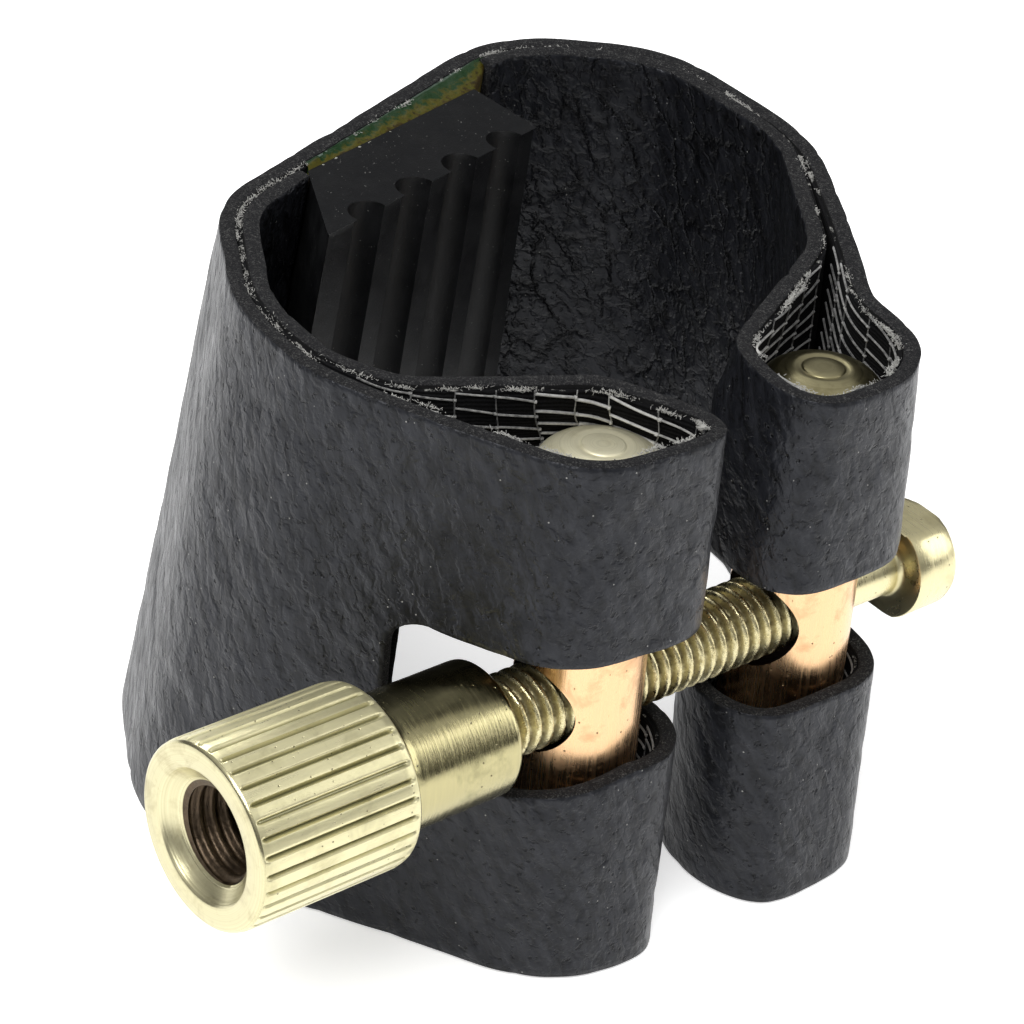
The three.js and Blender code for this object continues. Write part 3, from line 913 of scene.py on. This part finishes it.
def clamp_screw(looks):
    """The rod with its helical thread and neck, and the head with its two flats."""
    segments = SCREW_SEGMENTS
    theta = angles(segments)
    rows, marks = [], []

    def row(x, radius, mark):
        rows.append((x, radius))
        marks.append(mark)

    # Mark 2, the tip, takes the look that is painted paler, a painted highlight.
    row(SCREW_START, 0.02, 2)
    row(SCREW_START, TIP_RADIUS, 2)
    row(SCREW_START + 0.05, NECK_RADIUS, 2)
    for x in np.arange(SCREW_START + 0.12, NECK_START - 0.1, THREAD_PITCH / THREAD_ROWS):
        height = thread_height(x / THREAD_PITCH - theta / (2 * math.pi))
        full = THREAD_ROOT + (THREAD_RADIUS - THREAD_ROOT) * height
        start = NECK_RADIUS + (full - NECK_RADIUS) * smooth((x - SCREW_START) / 0.9)
        run_out = smooth((x - NECK_START + 1.0) / 0.9)
        row(x, start + (NECK_RADIUS - start) * run_out, 0)
    for x, radius in [
        (NECK_START, NECK_RADIUS),
        (HEAD_START - 0.28, NECK_RADIUS),
        (HEAD_START - 0.12, NECK_RADIUS + 0.06),
        (HEAD_START - 0.03, NECK_RADIUS + 0.22),
        (HEAD_START, NECK_RADIUS + 0.5),
        (HEAD_START, HEAD_RADIUS - 0.18),
        (HEAD_START + 0.05, HEAD_RADIUS - 0.05),
        (HEAD_START + 0.16, HEAD_RADIUS),
        (HEAD_START + 0.9, HEAD_RADIUS),
        (HEAD_START + 1.6, HEAD_RADIUS),
        (HEAD_END - 0.38, HEAD_RADIUS),
        (HEAD_END - 0.2, HEAD_RADIUS - 0.07),
        (HEAD_END, HEAD_RADIUS - 0.3),
        (HEAD_END + 0.02, 1.6),
        (HEAD_END + 0.02, 0.02),
    ]:
        row(x, radius, 1)
    points = spun(rows, segments)
    head = points[:, 0] > HEAD_START - 0.001
    points[head, 2] = np.clip(points[head, 2], -HEAD_FLAT, HEAD_FLAT)
    faces = grid_faces(len(rows), segments)
    looks_used = [marks[int(f[0]) // segments] for f in faces]
    faces = faces.tolist() + end_caps(len(rows), segments)
    obj = make_piece("screw", points, faces, looks, looks_used + [2, 1])
    mark_sharp(obj, 42)
    add_attribute(obj, "local", points)
    return obj


def knurl(theta):
    """1 on a ridge and 0 in the groove beside it, with ridges of uneven width."""
    turns = theta * KNURL_COUNT / (2 * math.pi)
    uneven = 0.05 * np.sin(theta * 3 + 1.0) + 0.04 * np.sin(theta * 7 + 2.0)
    phase = (turns + uneven) % 1
    return smooth((0.5 - np.abs(phase - 0.5)) / 0.18)


# The nut's profile between its straight stretches: distance along X and radius.
BORE_MOUTH = [(0.72, 2.3), (0.62, 2.44), (0.46, 2.64), (0.28, 2.84), (0.12, 2.98), (0.03, 3.06)]
KNOB_FACE = [(0.0, 3.12), (0.0, 3.6), (0.0, 3.97)]
KNOB_EDGE = [(0.03, 4.07), (0.09, 4.14), (0.16, 4.18)]
KNOB_SHOULDER = [(-0.14, 4.17), (-0.05, 4.1), (0.0, 3.98), (0.0, 3.62)]
COLLAR_FOOT = [(0.0, 3.56), (0.32, 3.5), (0.4, 3.42), (0.42, 3.2)]
NUT_SEGMENTS = 408


def thumb_nut(looks):
    """Knurled head and smooth collar, with a helical thread in the bore."""
    segments = NUT_SEGMENTS
    theta = angles(segments)
    ridges = knurl(theta)
    rows = []

    def row(x, radius, mark):
        rows.append((x, radius, mark))

    row(COLLAR_END, NUT_BORE + 0.25, 1)
    row(COLLAR_END - 0.25, NUT_BORE, 3)
    for x in np.linspace(COLLAR_END - 1.0, KNOB_START + 3.4, 8):
        row(x, NUT_BORE, 3)
    for x in np.arange(KNOB_START + 3.3, KNOB_START + 0.75, -THREAD_PITCH / THREAD_ROWS):
        height = thread_height(x / THREAD_PITCH - theta / (2 * math.pi) + 0.5)
        row(x, NUT_BORE + NUT_THREAD_DEPTH * (1 - height), 3)
    for profile, mark in ((BORE_MOUTH, 2), (KNOB_FACE, 2), (KNOB_EDGE, 1)):
        for x, radius in profile:
            row(KNOB_START + x, radius, mark)
    length = KNOB_END - KNOB_START
    front = np.linspace(0.18, 0.6, 8)
    back = np.linspace(length - 0.9, length - 0.22, 8)
    for x in np.concatenate([front, np.linspace(0.9, length - 1.1, 12), back]):
        rise = smooth((x - 0.16) / 0.3) * smooth((length - 0.18 - x) / 0.4)
        groove = KNOB_RADIUS - KNURL_DEPTH * (1 - ridges) * rise
        row(KNOB_START + x, groove - 0.05 * (1 - rise), 0)
    for x, radius in KNOB_SHOULDER + COLLAR_FOOT:
        row(KNOB_END + x, radius, 1)
    for x in np.linspace(0.5, COLLAR_END - KNOB_END - 0.25, 16):
        row(KNOB_END + x, COLLAR_RADIUS, 4)
    row(COLLAR_END - 0.1, COLLAR_RADIUS - 0.01, 4)
    row(COLLAR_END - 0.02, COLLAR_RADIUS - 0.08, 1)
    row(COLLAR_END, COLLAR_RADIUS - 0.2, 1)
    points = spun([(x, radius) for x, radius, _ in rows], segments)
    count = len(rows)
    quads = grid_faces(count, segments)
    closing = grid_faces(2, segments)
    ring = np.concatenate([np.arange(segments) + (count - 1) * segments, np.arange(segments)])
    marks = [rows[int(f[0]) // segments][2] for f in quads] + [1] * len(closing)
    faces = np.concatenate([quads, ring[closing]])
    obj = make_piece("nut", points, faces.tolist(), looks, marks)
    mark_sharp(obj, 50)
    add_attribute(obj, "local", points)
    return obj


# ---- looks ---------------------------------------------------------------------------------


def colour(code):
    """Linear colour from a hex code."""
    parts = [int(code[i : i + 2], 16) / 255 for i in (0, 2, 4)]
    return (*[p / 12.92 if p <= 0.04045 else ((p + 0.055) / 1.055) ** 2.4 for p in parts], 1.0)


class Look:
    """A node material, built by adding nodes that read from other nodes."""

    def __init__(self, name):
        self.material = bpy.data.materials.new(name)
        self.material.use_nodes = True
        self.tree = self.material.node_tree
        self.tree.nodes.clear()
        self.surface = self.node("ShaderNodeBsdfPrincipled")
        output = self.node("ShaderNodeOutputMaterial")
        self.tree.links.new(self.surface.outputs[0], output.inputs["Surface"])

    def node(self, kind, inputs=None, **settings):
        node = self.tree.nodes.new(kind)
        for key, value in settings.items():
            setattr(node, key, value)
        self.feed(node, inputs or {})
        return node

    def feed(self, node, inputs):
        for key, value in inputs.items():
            if isinstance(value, bpy.types.NodeSocket):
                self.tree.links.new(value, node.inputs[key])
            else:
                node.inputs[key].default_value = value

    def attribute(self, name, vector=True):
        node = self.node("ShaderNodeAttribute", attribute_name=name)
        return node.outputs["Vector" if vector else "Fac"]

    def object_place(self):
        """Place in the shared frame, in metres."""
        return self.node("ShaderNodeTexCoord").outputs["Object"]

    def moved(self, vector, scale=(1, 1, 1), by=(0, 0, 0)):
        inputs = {"Vector": vector, "Scale": scale, "Location": by}
        return self.node("ShaderNodeMapping", inputs).outputs[0]

    def stretched(self, vector, angle, length, width=1.0):
        """Makes the textures that read it longer along an angle in the vector's plane."""
        turn = (0, 0, math.radians(angle))
        inputs = {"Vector": vector, "Scale": (length, width, 1.0), "Rotation": turn}
        return self.node("ShaderNodeMapping", inputs, vector_type="TEXTURE").outputs[0]

    def noise(self, vector, scale, detail=3.0, rough=0.55, warp=0.0):
        inputs = {"Vector": vector, "Scale": scale, "Detail": detail}
        inputs |= {"Roughness": rough, "Distortion": warp}
        return self.node("ShaderNodeTexNoise", inputs).outputs["Fac"]

    def cells(self, vector, scale, feature="F1"):
        inputs = {"Vector": vector, "Scale": scale}
        return self.node("ShaderNodeTexVoronoi", inputs, feature=feature).outputs["Distance"]

    def maths(self, operation, a, b=0.0, clamp=False):
        return self.node("ShaderNodeMath", {0: a, 1: b}, operation=operation, use_clamp=clamp).outputs[0]

    def span(self, value, low, high, to_low=0.0, to_high=1.0):
        """Maps a range of values to another, held at its ends."""
        inputs = {"Value": value, 1: low, 2: high, 3: to_low, 4: to_high}
        return self.node("ShaderNodeMapRange", inputs).outputs[0]

    def mixed(self, share, a, b):
        a, b = (colour(c) if isinstance(c, str) else c for c in (a, b))
        return self.node("ShaderNodeMix", {0: share, 6: a, 7: b}, data_type="RGBA").outputs[2]

    def over(self, base, tone, mask, strength=1.0):
        """Lays a tone over a base where a mask is 1."""
        return self.mixed(self.maths("MULTIPLY", mask, strength), base, tone)

    def weighted(self, *terms):
        """Adds up pairs of a value and its weight."""
        parts = [self.maths("MULTIPLY", value, weight) for value, weight in terms]
        total = parts[0]
        for part in parts[1:]:
            total = self.maths("ADD", total, part)
        return total

    def radius(self, a, b):
        """Distance from an axis, from the two coordinates across it."""
        return self.maths("SQRT", self.weighted((a, a), (b, b)))

    def split(self, vector):
        return self.node("ShaderNodeSeparateXYZ", {0: vector}).outputs

    def joined(self, x, y, z):
        return self.node("ShaderNodeCombineXYZ", {0: x, 1: y, 2: z}).outputs[0]

    def bump(self, height, depth, strength=1.0, under=None):
        """Relief of a depth in millimetres, over another relief if one is given."""
        inputs = {"Height": height, "Distance": depth * MM, "Strength": strength}
        if under is not None:
            inputs["Normal"] = under
        return self.node("ShaderNodeBump", inputs).outputs[0]

    def finish(self, **inputs):
        names = {
            "base": "Base Color",
            "rough": "Roughness",
            "metal": "Metallic",
            "normal": "Normal",
            "gloss": "Specular IOR Level",
            "tint": "Specular Tint",
            "sheen": "Sheen Weight",
            "coat": "Coat Weight",
            "glow": "Emission Color",
            "glow_strength": "Emission Strength",
        }
        self.feed(self.surface, {names[key]: value for key, value in inputs.items()})
        return self.material


STREAKS = -63  # degrees from the strip's length to the grain's streaks
DUST_SHIFT = (3.7, 1.9, 0.4)


def grain_look():
    """Dark pebbled leather, streaked, pitted and dusty outside, and cracked on the inner lap."""
    look = Look("leather_grain")
    place = look.attribute("strip")
    inner = look.attribute("inner", vector=False)
    slanted = look.stretched(place, STREAKS, 1.9)
    drift = look.joined(look.noise(place, 0.9, 4), look.noise(place, 1.3, 4), 0.0)
    bent = look.node("ShaderNodeVectorMath", {0: slanted, 1: drift}, operation="ADD").outputs[0]
    swell = look.noise(bent, 1.7, 2, 0.4, 0.2)
    pebble = look.cells(bent, 1.25, "SMOOTH_F1")
    seams = look.span(look.cells(bent, 1.25, "DISTANCE_TO_EDGE"), 0.0, 0.16)
    seams = look.maths("MAXIMUM", seams, look.span(look.noise(place, 1.2, 2), 0.5, 0.62))
    crack = look.span(look.cells(look.moved(bent, (0.8, 1.1, 1.0)), 0.42, "DISTANCE_TO_EDGE"), 0.0, 0.05)
    crack = look.maths("MAXIMUM", crack, look.span(look.noise(place, 0.5, 2), 0.5, 0.62))
    pores = look.span(look.noise(place, 1.9, 3, 0.6, 0.3), 0.6, 0.68)
    pits = look.span(look.cells(place, 1.4), 0.16, 0.08)
    dust = look.span(look.cells(look.moved(place, by=DUST_SHIFT), 1.3), 0.06, 0.035)
    fine = look.noise(place, 12.0, 3, 0.7)
    broad = look.noise(place, 0.35, 3)
    patch = look.noise(look.stretched(place, STREAKS, 2.5), 1.6, 4, 0.65)
    base = look.mixed(seams, "0a0a0b", "141519")
    base = look.mixed(look.span(patch, 0.42, 0.7), base, "26272b")
    base = look.over(base, "030304", pores, 0.9)
    base = look.over(base, "030304", inner, look.span(crack, 0, 1, 0.9, 0.0))
    base = look.over(base, "020203", pits, 0.85)
    base = look.over(base, "b4b3ae", dust, 0.55)
    rough = look.maths("ADD", look.span(broad, 0.3, 0.7, 0.3, 0.4), look.span(patch, 0.3, 0.7, 0.08, -0.06))
    height = look.weighted(
        (pebble, -0.35),
        (swell, 1.2),
        (seams, look.span(inner, 0, 1, 0.12, 0.45)),
        (fine, 0.07),
        (pores, -0.3),
        (pits, -0.5),
        (crack, look.span(inner, 0, 1, 0.2, 0.9)),
    )
    relief = look.bump(height, 0.14, 0.8)
    return look.finish(base=base, rough=rough, normal=relief, gloss=0.26, tint=(0.93, 0.95, 1.0, 1))


def flesh_look():
    """The strip's napped inner side."""
    look = Look("leather_flesh")
    nap = look.noise(look.attribute("strip"), 7.0, 5, 0.75)
    base = look.mixed(nap, "080809", "1c1c1d")
    return look.finish(base=base, rough=0.95, normal=look.bump(nap, 0.15), gloss=0.2)


def cut_edge_look():
    """Napped black leather with pale specks in patches."""
    look = Look("leather_cut")
    place = look.attribute("strip")
    nap = look.noise(place, 11.0, 5, 0.8)
    clumps = look.noise(place, 2.2, 4, 0.7)
    pale = look.maths("MULTIPLY", look.span(nap, 0.52, 0.64), look.span(clumps, 0.4, 0.6, 0.35, 1.0))
    base = look.over(look.mixed(nap, "050506", "29292c"), "8f8e8b", pale, 0.5)
    return look.finish(base=base, rough=0.85, normal=look.bump(nap, 0.14), gloss=0.2)


def backing_look():
    """Black woven ground under the net."""
    look = Look("backing_fabric")
    place = look.attribute("strip")
    inputs = {"Vector": place, "Scale": 1.6, "Distortion": 2.5, "Detail": 2.0}
    weave = look.node("ShaderNodeTexWave", inputs, bands_direction="Y")
    nap = look.noise(place, 8.0, 4, 0.7)
    base = look.mixed(look.maths("MULTIPLY", weave.outputs["Fac"], nap), "050506", "262628")
    return look.finish(base=base, rough=1.0, normal=look.bump(nap, 0.12), gloss=0.1)


def backing_edge_look():
    """The fabric's cut edge, with clumps of white yarn."""
    look = Look("backing_edge")
    place = look.attribute("strip")
    clumps = look.noise(place, 1.3, 4, 0.75)
    nap = look.noise(place, 12.0, 3, 0.8)
    white = look.maths("MULTIPLY", look.span(clumps, 0.55, 0.64), look.span(nap, 0.35, 0.6, 0.2, 1.0))
    base = look.mixed(white, "101012", "c9c8c2")
    return look.finish(base=base, rough=1.0, normal=look.bump(nap, 0.1), gloss=0.15)


def strand_look(name, dark, pale):
    """Matt thread or fibre, from dark to pale with each strand's own shade."""
    look = Look(name)
    shade = look.attribute("shade", vector=False)
    vary = look.noise(look.object_place(), 3500.0, 3, 0.7)
    base = look.mixed(look.maths("ADD", shade, look.span(vary, 0.3, 0.7, -0.3, 0.25), True), dark, pale)
    return look.finish(base=base, rough=0.9, gloss=0.2, sheen=0.3, normal=look.bump(vary, 0.03))


def rubber_look(name, gloss, rough):
    """Black rubber with faint upright streaks and pale dust."""
    look = Look(name)
    spot = look.object_place()
    fine = look.noise(spot, 9000.0, 4, 0.7)
    broad = look.noise(spot, 700.0, 3)
    streak = look.noise(look.moved(spot, (1.0, 1.0, 0.06)), 4000.0, 3)
    dust = look.span(look.noise(spot, 5200.0, 2, 0.9), 0.7, 0.74)
    base = look.mixed(broad, "070708", "0f1012")
    base = look.over(base, "16171a", look.span(streak, 0.5, 0.7), 0.3)
    base = look.over(base, "9a9a96", dust, 0.5)
    shine = look.span(broad, 0.3, 0.7, rough - 0.08, rough + 0.08)
    return look.finish(base=base, rough=shine, normal=look.bump(fine, 0.025, 0.7), gloss=gloss)


def adhesive_look():
    """Green at the outer layer, turning olive and then brown towards the pad, with a pale fringe."""
    look = Look("adhesive")
    share = look.attribute("share", vector=False)
    lumps = look.noise(look.object_place(), 2600.0, 4, 0.65)
    across = look.maths("ADD", share, look.span(lumps, 0.3, 0.7, -0.35, 0.35), True)
    base = look.mixed(look.span(across, 0.4, 0.66), "0d2a0c", "403c06")
    base = look.mixed(look.span(across, 0.78, 1.0), base, "2c2004")
    base = look.mixed(look.span(lumps, 0.56, 0.7, 0.0, 0.6), base, "0c1806")
    fringe = look.maths("MULTIPLY", look.span(share, 0.14, 0.02), look.span(lumps, 0.35, 0.6, 0.2, 0.9))
    base = look.mixed(fringe, base, "74837a")
    return look.finish(base=base, rough=0.6, normal=look.bump(lumps, 0.08), gloss=0.15)


def bead_look():
    """Pale set drops of the adhesive."""
    look = Look("adhesive_beads")
    lumps = look.noise(look.object_place(), 5000.0, 3)
    base = look.mixed(lumps, "5c5d54", "9a9a90")
    return look.finish(base=base, rough=0.3, normal=look.bump(lumps, 0.03), coat=0.3)


def tinted(code, gain):
    """A hex colour made lighter or darker, slightly yellower."""
    red, green, blue, _ = colour(code)
    return (min(red * gain, 1), min(green * gain, 1), min(blue * gain * 0.97, 1), 1.0)


def brass_look(name, tone, stain, rough, brush, deep=0.02, stains=0.5, metal=1.0, groove_shade_radii=None):
    """Machined brass. brush scales the noise along each axis, so lines run along the smallest.
    groove_shade_radii gives two radii from the X axis between which the metal is painted dark olive, a
    painted shade in the knurl's grooves."""
    look = Look(name)
    place = look.attribute("local")
    lines = look.noise(look.moved(place, brush), 1.0, 4, 0.7)
    cloud = look.noise(place, 0.55, 4, 0.65, 0.4)
    spots = look.span(look.cells(place, 1.9), 0.1, 0.05)
    base = look.mixed(look.span(lines, 0.3, 0.7), tone, tinted(tone, 1.12))
    base = look.over(base, stain, look.span(cloud, 0.5, 0.78), stains)
    base = look.over(base, "3a2c12", spots, 0.75)
    # Painted shade: the metal turns dark olive between the two radii, in the knurl's grooves.
    if groove_shade_radii:
        _, y, z = look.split(place)
        base = look.mixed(look.span(look.radius(y, z), *groove_shade_radii, 0.7, 0.0), base, "4b5030")
    shine = look.span(lines, 0.3, 0.7, rough - 0.05, rough + 0.09)
    shine = look.maths("ADD", shine, look.span(cloud, 0.5, 0.8, 0, 0.12))
    relief = look.bump(lines, deep, 0.6)
    relief = look.bump(look.maths("MULTIPLY", spots, -1.0), 0.04, 0.6, relief)
    return look.finish(base=base, rough=shine, metal=metal, normal=relief)


def turned_look(name, tone, stain, rough, axis, rings, stains=0.4, deep=0.02, metal=1.0):
    """Brass with concentric tool rings about the piece's own axis."""
    look = Look(name)
    place = look.attribute("local")
    x, y, z = look.split(place)
    radius = look.radius(x, y) if axis == "Z" else look.radius(y, z)
    lines = look.noise(look.joined(radius, 0.0, 0.0), rings, 3, 0.8)
    cloud = look.noise(place, 0.8, 4, 0.65, 0.3)
    base = look.mixed(look.span(lines, 0.35, 0.65), tone, tinted(tone, 0.8))
    base = look.over(base, stain, look.span(cloud, 0.5, 0.72), stains)
    shine = look.span(lines, 0.3, 0.7, rough - 0.06, rough + 0.1)
    return look.finish(base=base, rough=shine, metal=metal, normal=look.bump(lines, deep, 0.8))


def hole_look(name, dark, pale):
    """Brass inside a hole, painted dark: a painted shade in the hole."""
    look = Look(name)
    cloud = look.noise(look.attribute("local"), 2.4, 4, 0.7)
    base = look.mixed(cloud, dark, pale)
    shine = look.span(cloud, 0.3, 0.7, 0.3, 0.5)
    return look.finish(base=base, rough=shine, metal=0.9, normal=look.bump(cloud, 0.05))


def thread_look():
    """Pale crests with dirt in the thread's roots."""
    look = Look("screw_thread")
    place = look.attribute("local")
    _, y, z = look.split(place)
    cloud = look.noise(place, 1.7, 4, 0.75)
    speck = look.noise(place, 7.0, 3, 0.8)
    valley = look.span(look.radius(y, z), THREAD_RADIUS - 0.1, THREAD_ROOT)
    dirt = look.maths("MULTIPLY", valley, look.span(cloud, 0.35, 0.6, 0.3, 0.85), True)
    base = look.mixed(look.span(cloud, 0.3, 0.7), "dcd4ac", "bfb282")
    base = look.mixed(dirt, base, "33210c")
    base = look.over(base, "6b4a1e", look.span(speck, 0.6, 0.7), 0.5)
    rough = look.maths("ADD", look.span(speck, 0.3, 0.7, 0.2, 0.36), look.maths("MULTIPLY", dirt, 0.3))
    return look.finish(base=base, rough=rough, metal=1.0, normal=look.bump(speck, 0.02))


FLOOR_GLOW = 0.5


def floor_look():
    """White studio floor that glows a little, so that it stays white."""
    look = Look("floor")
    tone = look.noise(look.object_place(), 4.0, 2)
    base = look.mixed(tone, "f4f4f4", "fafafa")
    return look.finish(base=base, rough=0.9, gloss=0.1, glow=(1, 1, 1, 1), glow_strength=FLOOR_GLOW)


# ---- the scene -----------------------------------------------------------------------------


def framed(point):
    """A point in millimetres from the near bar's centre, in the shared frame."""
    return tuple((np.asarray(point) + ORIGIN) * MM)


def bend_to_near_loop(obj):
    """Bakes a piece's placement into its mesh, without attaching it to any body."""
    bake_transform(obj)


def build_strip():
    """The leather and its backing, each divided into a far and a near piece."""
    leather = {
        "looks": [grain_look(), flesh_look(), cut_edge_look()],
        "step": LEATHER_STEP,
        "depths": (0.0, LEATHER),
    }
    weave = backing_look()
    backing = {
        "looks": [weave, weave, backing_edge_look()],
        "step": BACKING_STEP,
        "depths": BACKING,
        "inset": BACKING_INSET,
        "bulge": BACKING_BULGE,
        "relief": False,
    }
    for prefix, layer, slot in (("leather", leather, "leather"), ("backing", backing, "knit")):
        far = strip_shell(f"{prefix}_far", (S_FAR_START, S_SPLIT), FAR_SLOT, **layer)
        near = strip_shell(f"{prefix}_near", (S_SPLIT, S_NEAR_END), NEAR_SLOT, **layer)
        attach(far, "band")
        bend_to_near_loop(near)
        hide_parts(f"{prefix}_strip")
        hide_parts(f"{prefix}_near_loop", f"{prefix}_inner_end")


def build_strands():
    """The nets inside the loops and the loose fibres along the upper rim."""
    thread = strand_look("net_thread", "2c2c2e", "bdbcb8")
    fibre = strand_look("loose_fibre", "5c5b59", "c6c5c0")
    near_inside = (NEAR_SLOT["start"] - 1.6, NEAR_SLOT["end"] + 1.5)
    far_inside = (FAR_SLOT["start"] - 1.4, FAR_SLOT["end"] + 1.2)
    near_rim, far_rim = (S_SPLIT + 1, S_NEAR_END), (S_FAR_START, S_SPLIT - 1)
    for side, inside, rim, slot, tip, seed, clumps in (
        ("near", near_inside, near_rim, NEAR_SLOT, S_NEAR_TIP, SEED + 20, 34),
        ("far", far_inside, far_rim, FAR_SLOT, S_FAR_TIP, SEED + 30, 40),
    ):
        net, fibres = Strands(), Strands()
        knit_net(net, inside, slot, tip, seed)
        fuzz(fibres, rim_spots(rim, seed + 1, clumps), seed + 2)
        fuzz(fibres, rim_spots(inside, seed + 5, LOOP_CLUMPS, LOOP_CLUMP_DEPTHS), seed + 6)
        for strands, name, look in ((net, "net", thread), (fibres, "fibres", fibre)):
            obj = strands.build(f"{name}_{side}", look)
            if side == "near":
                bend_to_near_loop(obj)
            else:
                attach(obj, "band")


def build_pad():
    """The ribbed pad and the adhesive behind it."""
    pad = ribbed_pad([rubber_look("rubber_top", 0.1, 0.7), rubber_look("rubber_flutes", 0.5, 0.42)])
    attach(pad, "band")
    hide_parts("ribbed_pad")
    glue = adhesive_layer([adhesive_look(), bead_look()])
    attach(glue, "band")
    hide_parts("pad_adhesive")


def build_metal():
    """Both bars, the thumb nut and the clamp screw."""
    side = brass_look("bar_side", "e6bd92", "7a4216", 0.24, (5.0, 5.0, 0.22), 0.015, 0.55)
    # The two domes are the same brass: the near one is painted pale and half diffuse, a painted highlight,
    # and the far one is painted darker, a painted shade.
    near_dome_painted_highlight = turned_look("dome_near", "ece6c8", "b5a878", 0.42, "Z", 6.0, deep=0.012, metal=0.5)
    far_dome_painted_shade = turned_look("dome_far", "a8a07c", "5a5030", 0.3, "Z", 6.0, deep=0.012)
    # Both holes' walls are painted dark, a painted shade inside the bores.
    bore = hole_look("bar_bore", "0c0603", "4a2a12")
    nut_bore = hole_look("nut_bore", "120d0a", "6e5e4c")
    near = bar("bar_near", 0.0, NEAR_HOLE, [side, near_dome_painted_highlight, bore])
    far = bar("bar_far", BAR_SPACING, FAR_HOLE, [side, far_dome_painted_shade, bore])
    along_nut = (0.3, 4.0, 4.0)
    # The knurl's grooves get a painted shade between these two radii.
    groove_shade_radii = (KNOB_RADIUS - KNURL_DEPTH, KNOB_RADIUS - 0.04)
    knurled = brass_look("nut_knurl", "dad3aa", "7a7448", 0.3, along_nut, 0.02, 0.4, 0.75, groove_shade_radii)
    turned = turned_look("nut_turned", "d2cba4", "6a6232", 0.19, "X", 9.0)
    face = turned_look("nut_face", "d4cda8", "6b5426", 0.3, "X", 12.0, 0.35)
    collar = brass_look("nut_collar", "aea67e", "44482a", 0.16, (7.0, 0.4, 0.4), 0.02, 0.5)
    nut = thumb_nut([knurled, turned, face, nut_bore, collar])
    head = brass_look("screw_head", "d8cfa6", "776c3c", 0.27, (5.0, 0.5, 0.5), 0.012, 0.4)
    # The screw's tip is painted paler and half diffuse, a painted highlight on a tip that sits in shade
    # inside the bore.
    tip = turned_look("screw_tip", "efe9c8", "9a9358", 0.5, "X", 10.0, metal=0.4)
    screw = clamp_screw([thread_look(), head, tip])
    for obj, body, slot, node in (
        (near, "near_loop", "red_brass", "near_bar"),
        (far, "band", "red_brass", "far_bar"),
        (nut, "thumb_nut", "brass", "thumb_nut"),
        (screw, "clamp_screw", "brass", "clamp_screw"),
    ):
        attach(obj, body)
        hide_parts(node)


FLOOR_REACH = 1500
FLOOR_Z = -0.15


def build_stage():
    """The floor, kept out of the object itself."""
    around = [(-1, -1), (1, -1), (1, 1), (-1, 1)]
    points = np.array([(x * FLOOR_REACH, y * FLOOR_REACH, FLOOR_Z) for x, y in around]) - ORIGIN
    make_piece("floor", points, [(0, 1, 2, 3)], [floor_look()])


# How bright the surroundings are, from straight below to straight above.
SKY_STOPS = [(0.0, 0.12), (0.25, 0.25), (0.5, 0.75), (0.9, 1.15)]
SKY_STRENGTH = 0.6
LIGHT_TARGET = (0.0, 0.0, 0.013)
# Each light's name, place, size and power, in metres and watts.
LIGHTS = [
    ("key", (-0.16, -0.06, 0.24), (0.16, 0.12), 0.6),
    ("fill", (0.22, -0.16, 0.14), (0.14, 0.2), 0.2),
    ("back", (0.05, 0.26, 0.2), (0.22, 0.1), 0.35),
]


def area_light(name, spot, size, power):
    """A soft rectangular light that faces the object."""
    light = bpy.data.lights.new(name, "AREA")
    light.shape = "RECTANGLE"
    light.size, light.size_y = size
    light.energy = power
    obj = new_object(name, light)
    obj.location = spot
    obj.rotation_euler = (Vector(LIGHT_TARGET) - Vector(spot)).to_track_quat("-Z", "Y").to_euler()


def build_light():
    """Even surroundings, brighter above, and three soft lights."""
    world = bpy.data.worlds.new("studio")
    bpy.context.scene.world = world
    world.use_nodes = True
    tree = world.node_tree
    coordinates = tree.nodes.new("ShaderNodeTexCoord")
    split = tree.nodes.new("ShaderNodeSeparateXYZ")
    ramp = tree.nodes.new("ShaderNodeValToRGB")
    tree.links.new(coordinates.outputs["Generated"], split.inputs[0])
    tree.links.new(split.outputs["Z"], ramp.inputs[0])
    elements = ramp.color_ramp.elements
    elements[1].position = SKY_STOPS[-1][0]
    for position, _ in SKY_STOPS[1:-1]:
        elements.new(position)
    for element, (_, value) in zip(elements, SKY_STOPS):
        element.color = (value, value, value, 1)
    background = tree.nodes["Background"]
    tree.links.new(ramp.outputs[0], background.inputs["Color"])
    background.inputs["Strength"].default_value = SKY_STRENGTH
    for name, spot, size, power in LIGHTS:
        area_light(name, spot, size, power)


CAMERA_SPOT = (-92.15, -85.19, 91.41)
CAMERA_RIGHT = (0.7575, -0.6383, 0.1369)
CAMERA_UP = (0.2713, 0.4986, 0.8233)
CAMERA_FORWARD = (0.5937, 0.5865, -0.5509)
FOCAL_SHARE = 3475.8 / 1024  # focal length over the frame's width
SENSOR = 36.0


def build_camera():
    """The photo's camera."""
    camera = bpy.data.cameras.new("camera")
    camera.sensor_width = SENSOR
    camera.lens = FOCAL_SHARE * SENSOR
    camera.clip_start = 0.005
    camera.clip_end = 20
    obj = new_object("camera", camera)
    columns = [CAMERA_RIGHT, CAMERA_UP, [-v for v in CAMERA_FORWARD], framed(CAMERA_SPOT)]
    rows = [[column[k] for column in columns] for k in range(3)]
    obj.matrix_world = Matrix(rows + [[0, 0, 0, 1]])
    bpy.context.scene.camera = obj


build_strip()
build_strands()
build_pad()
build_metal()
build_stage()
build_light()
build_camera()
bpy.context.scene.view_settings.view_transform = "Standard"
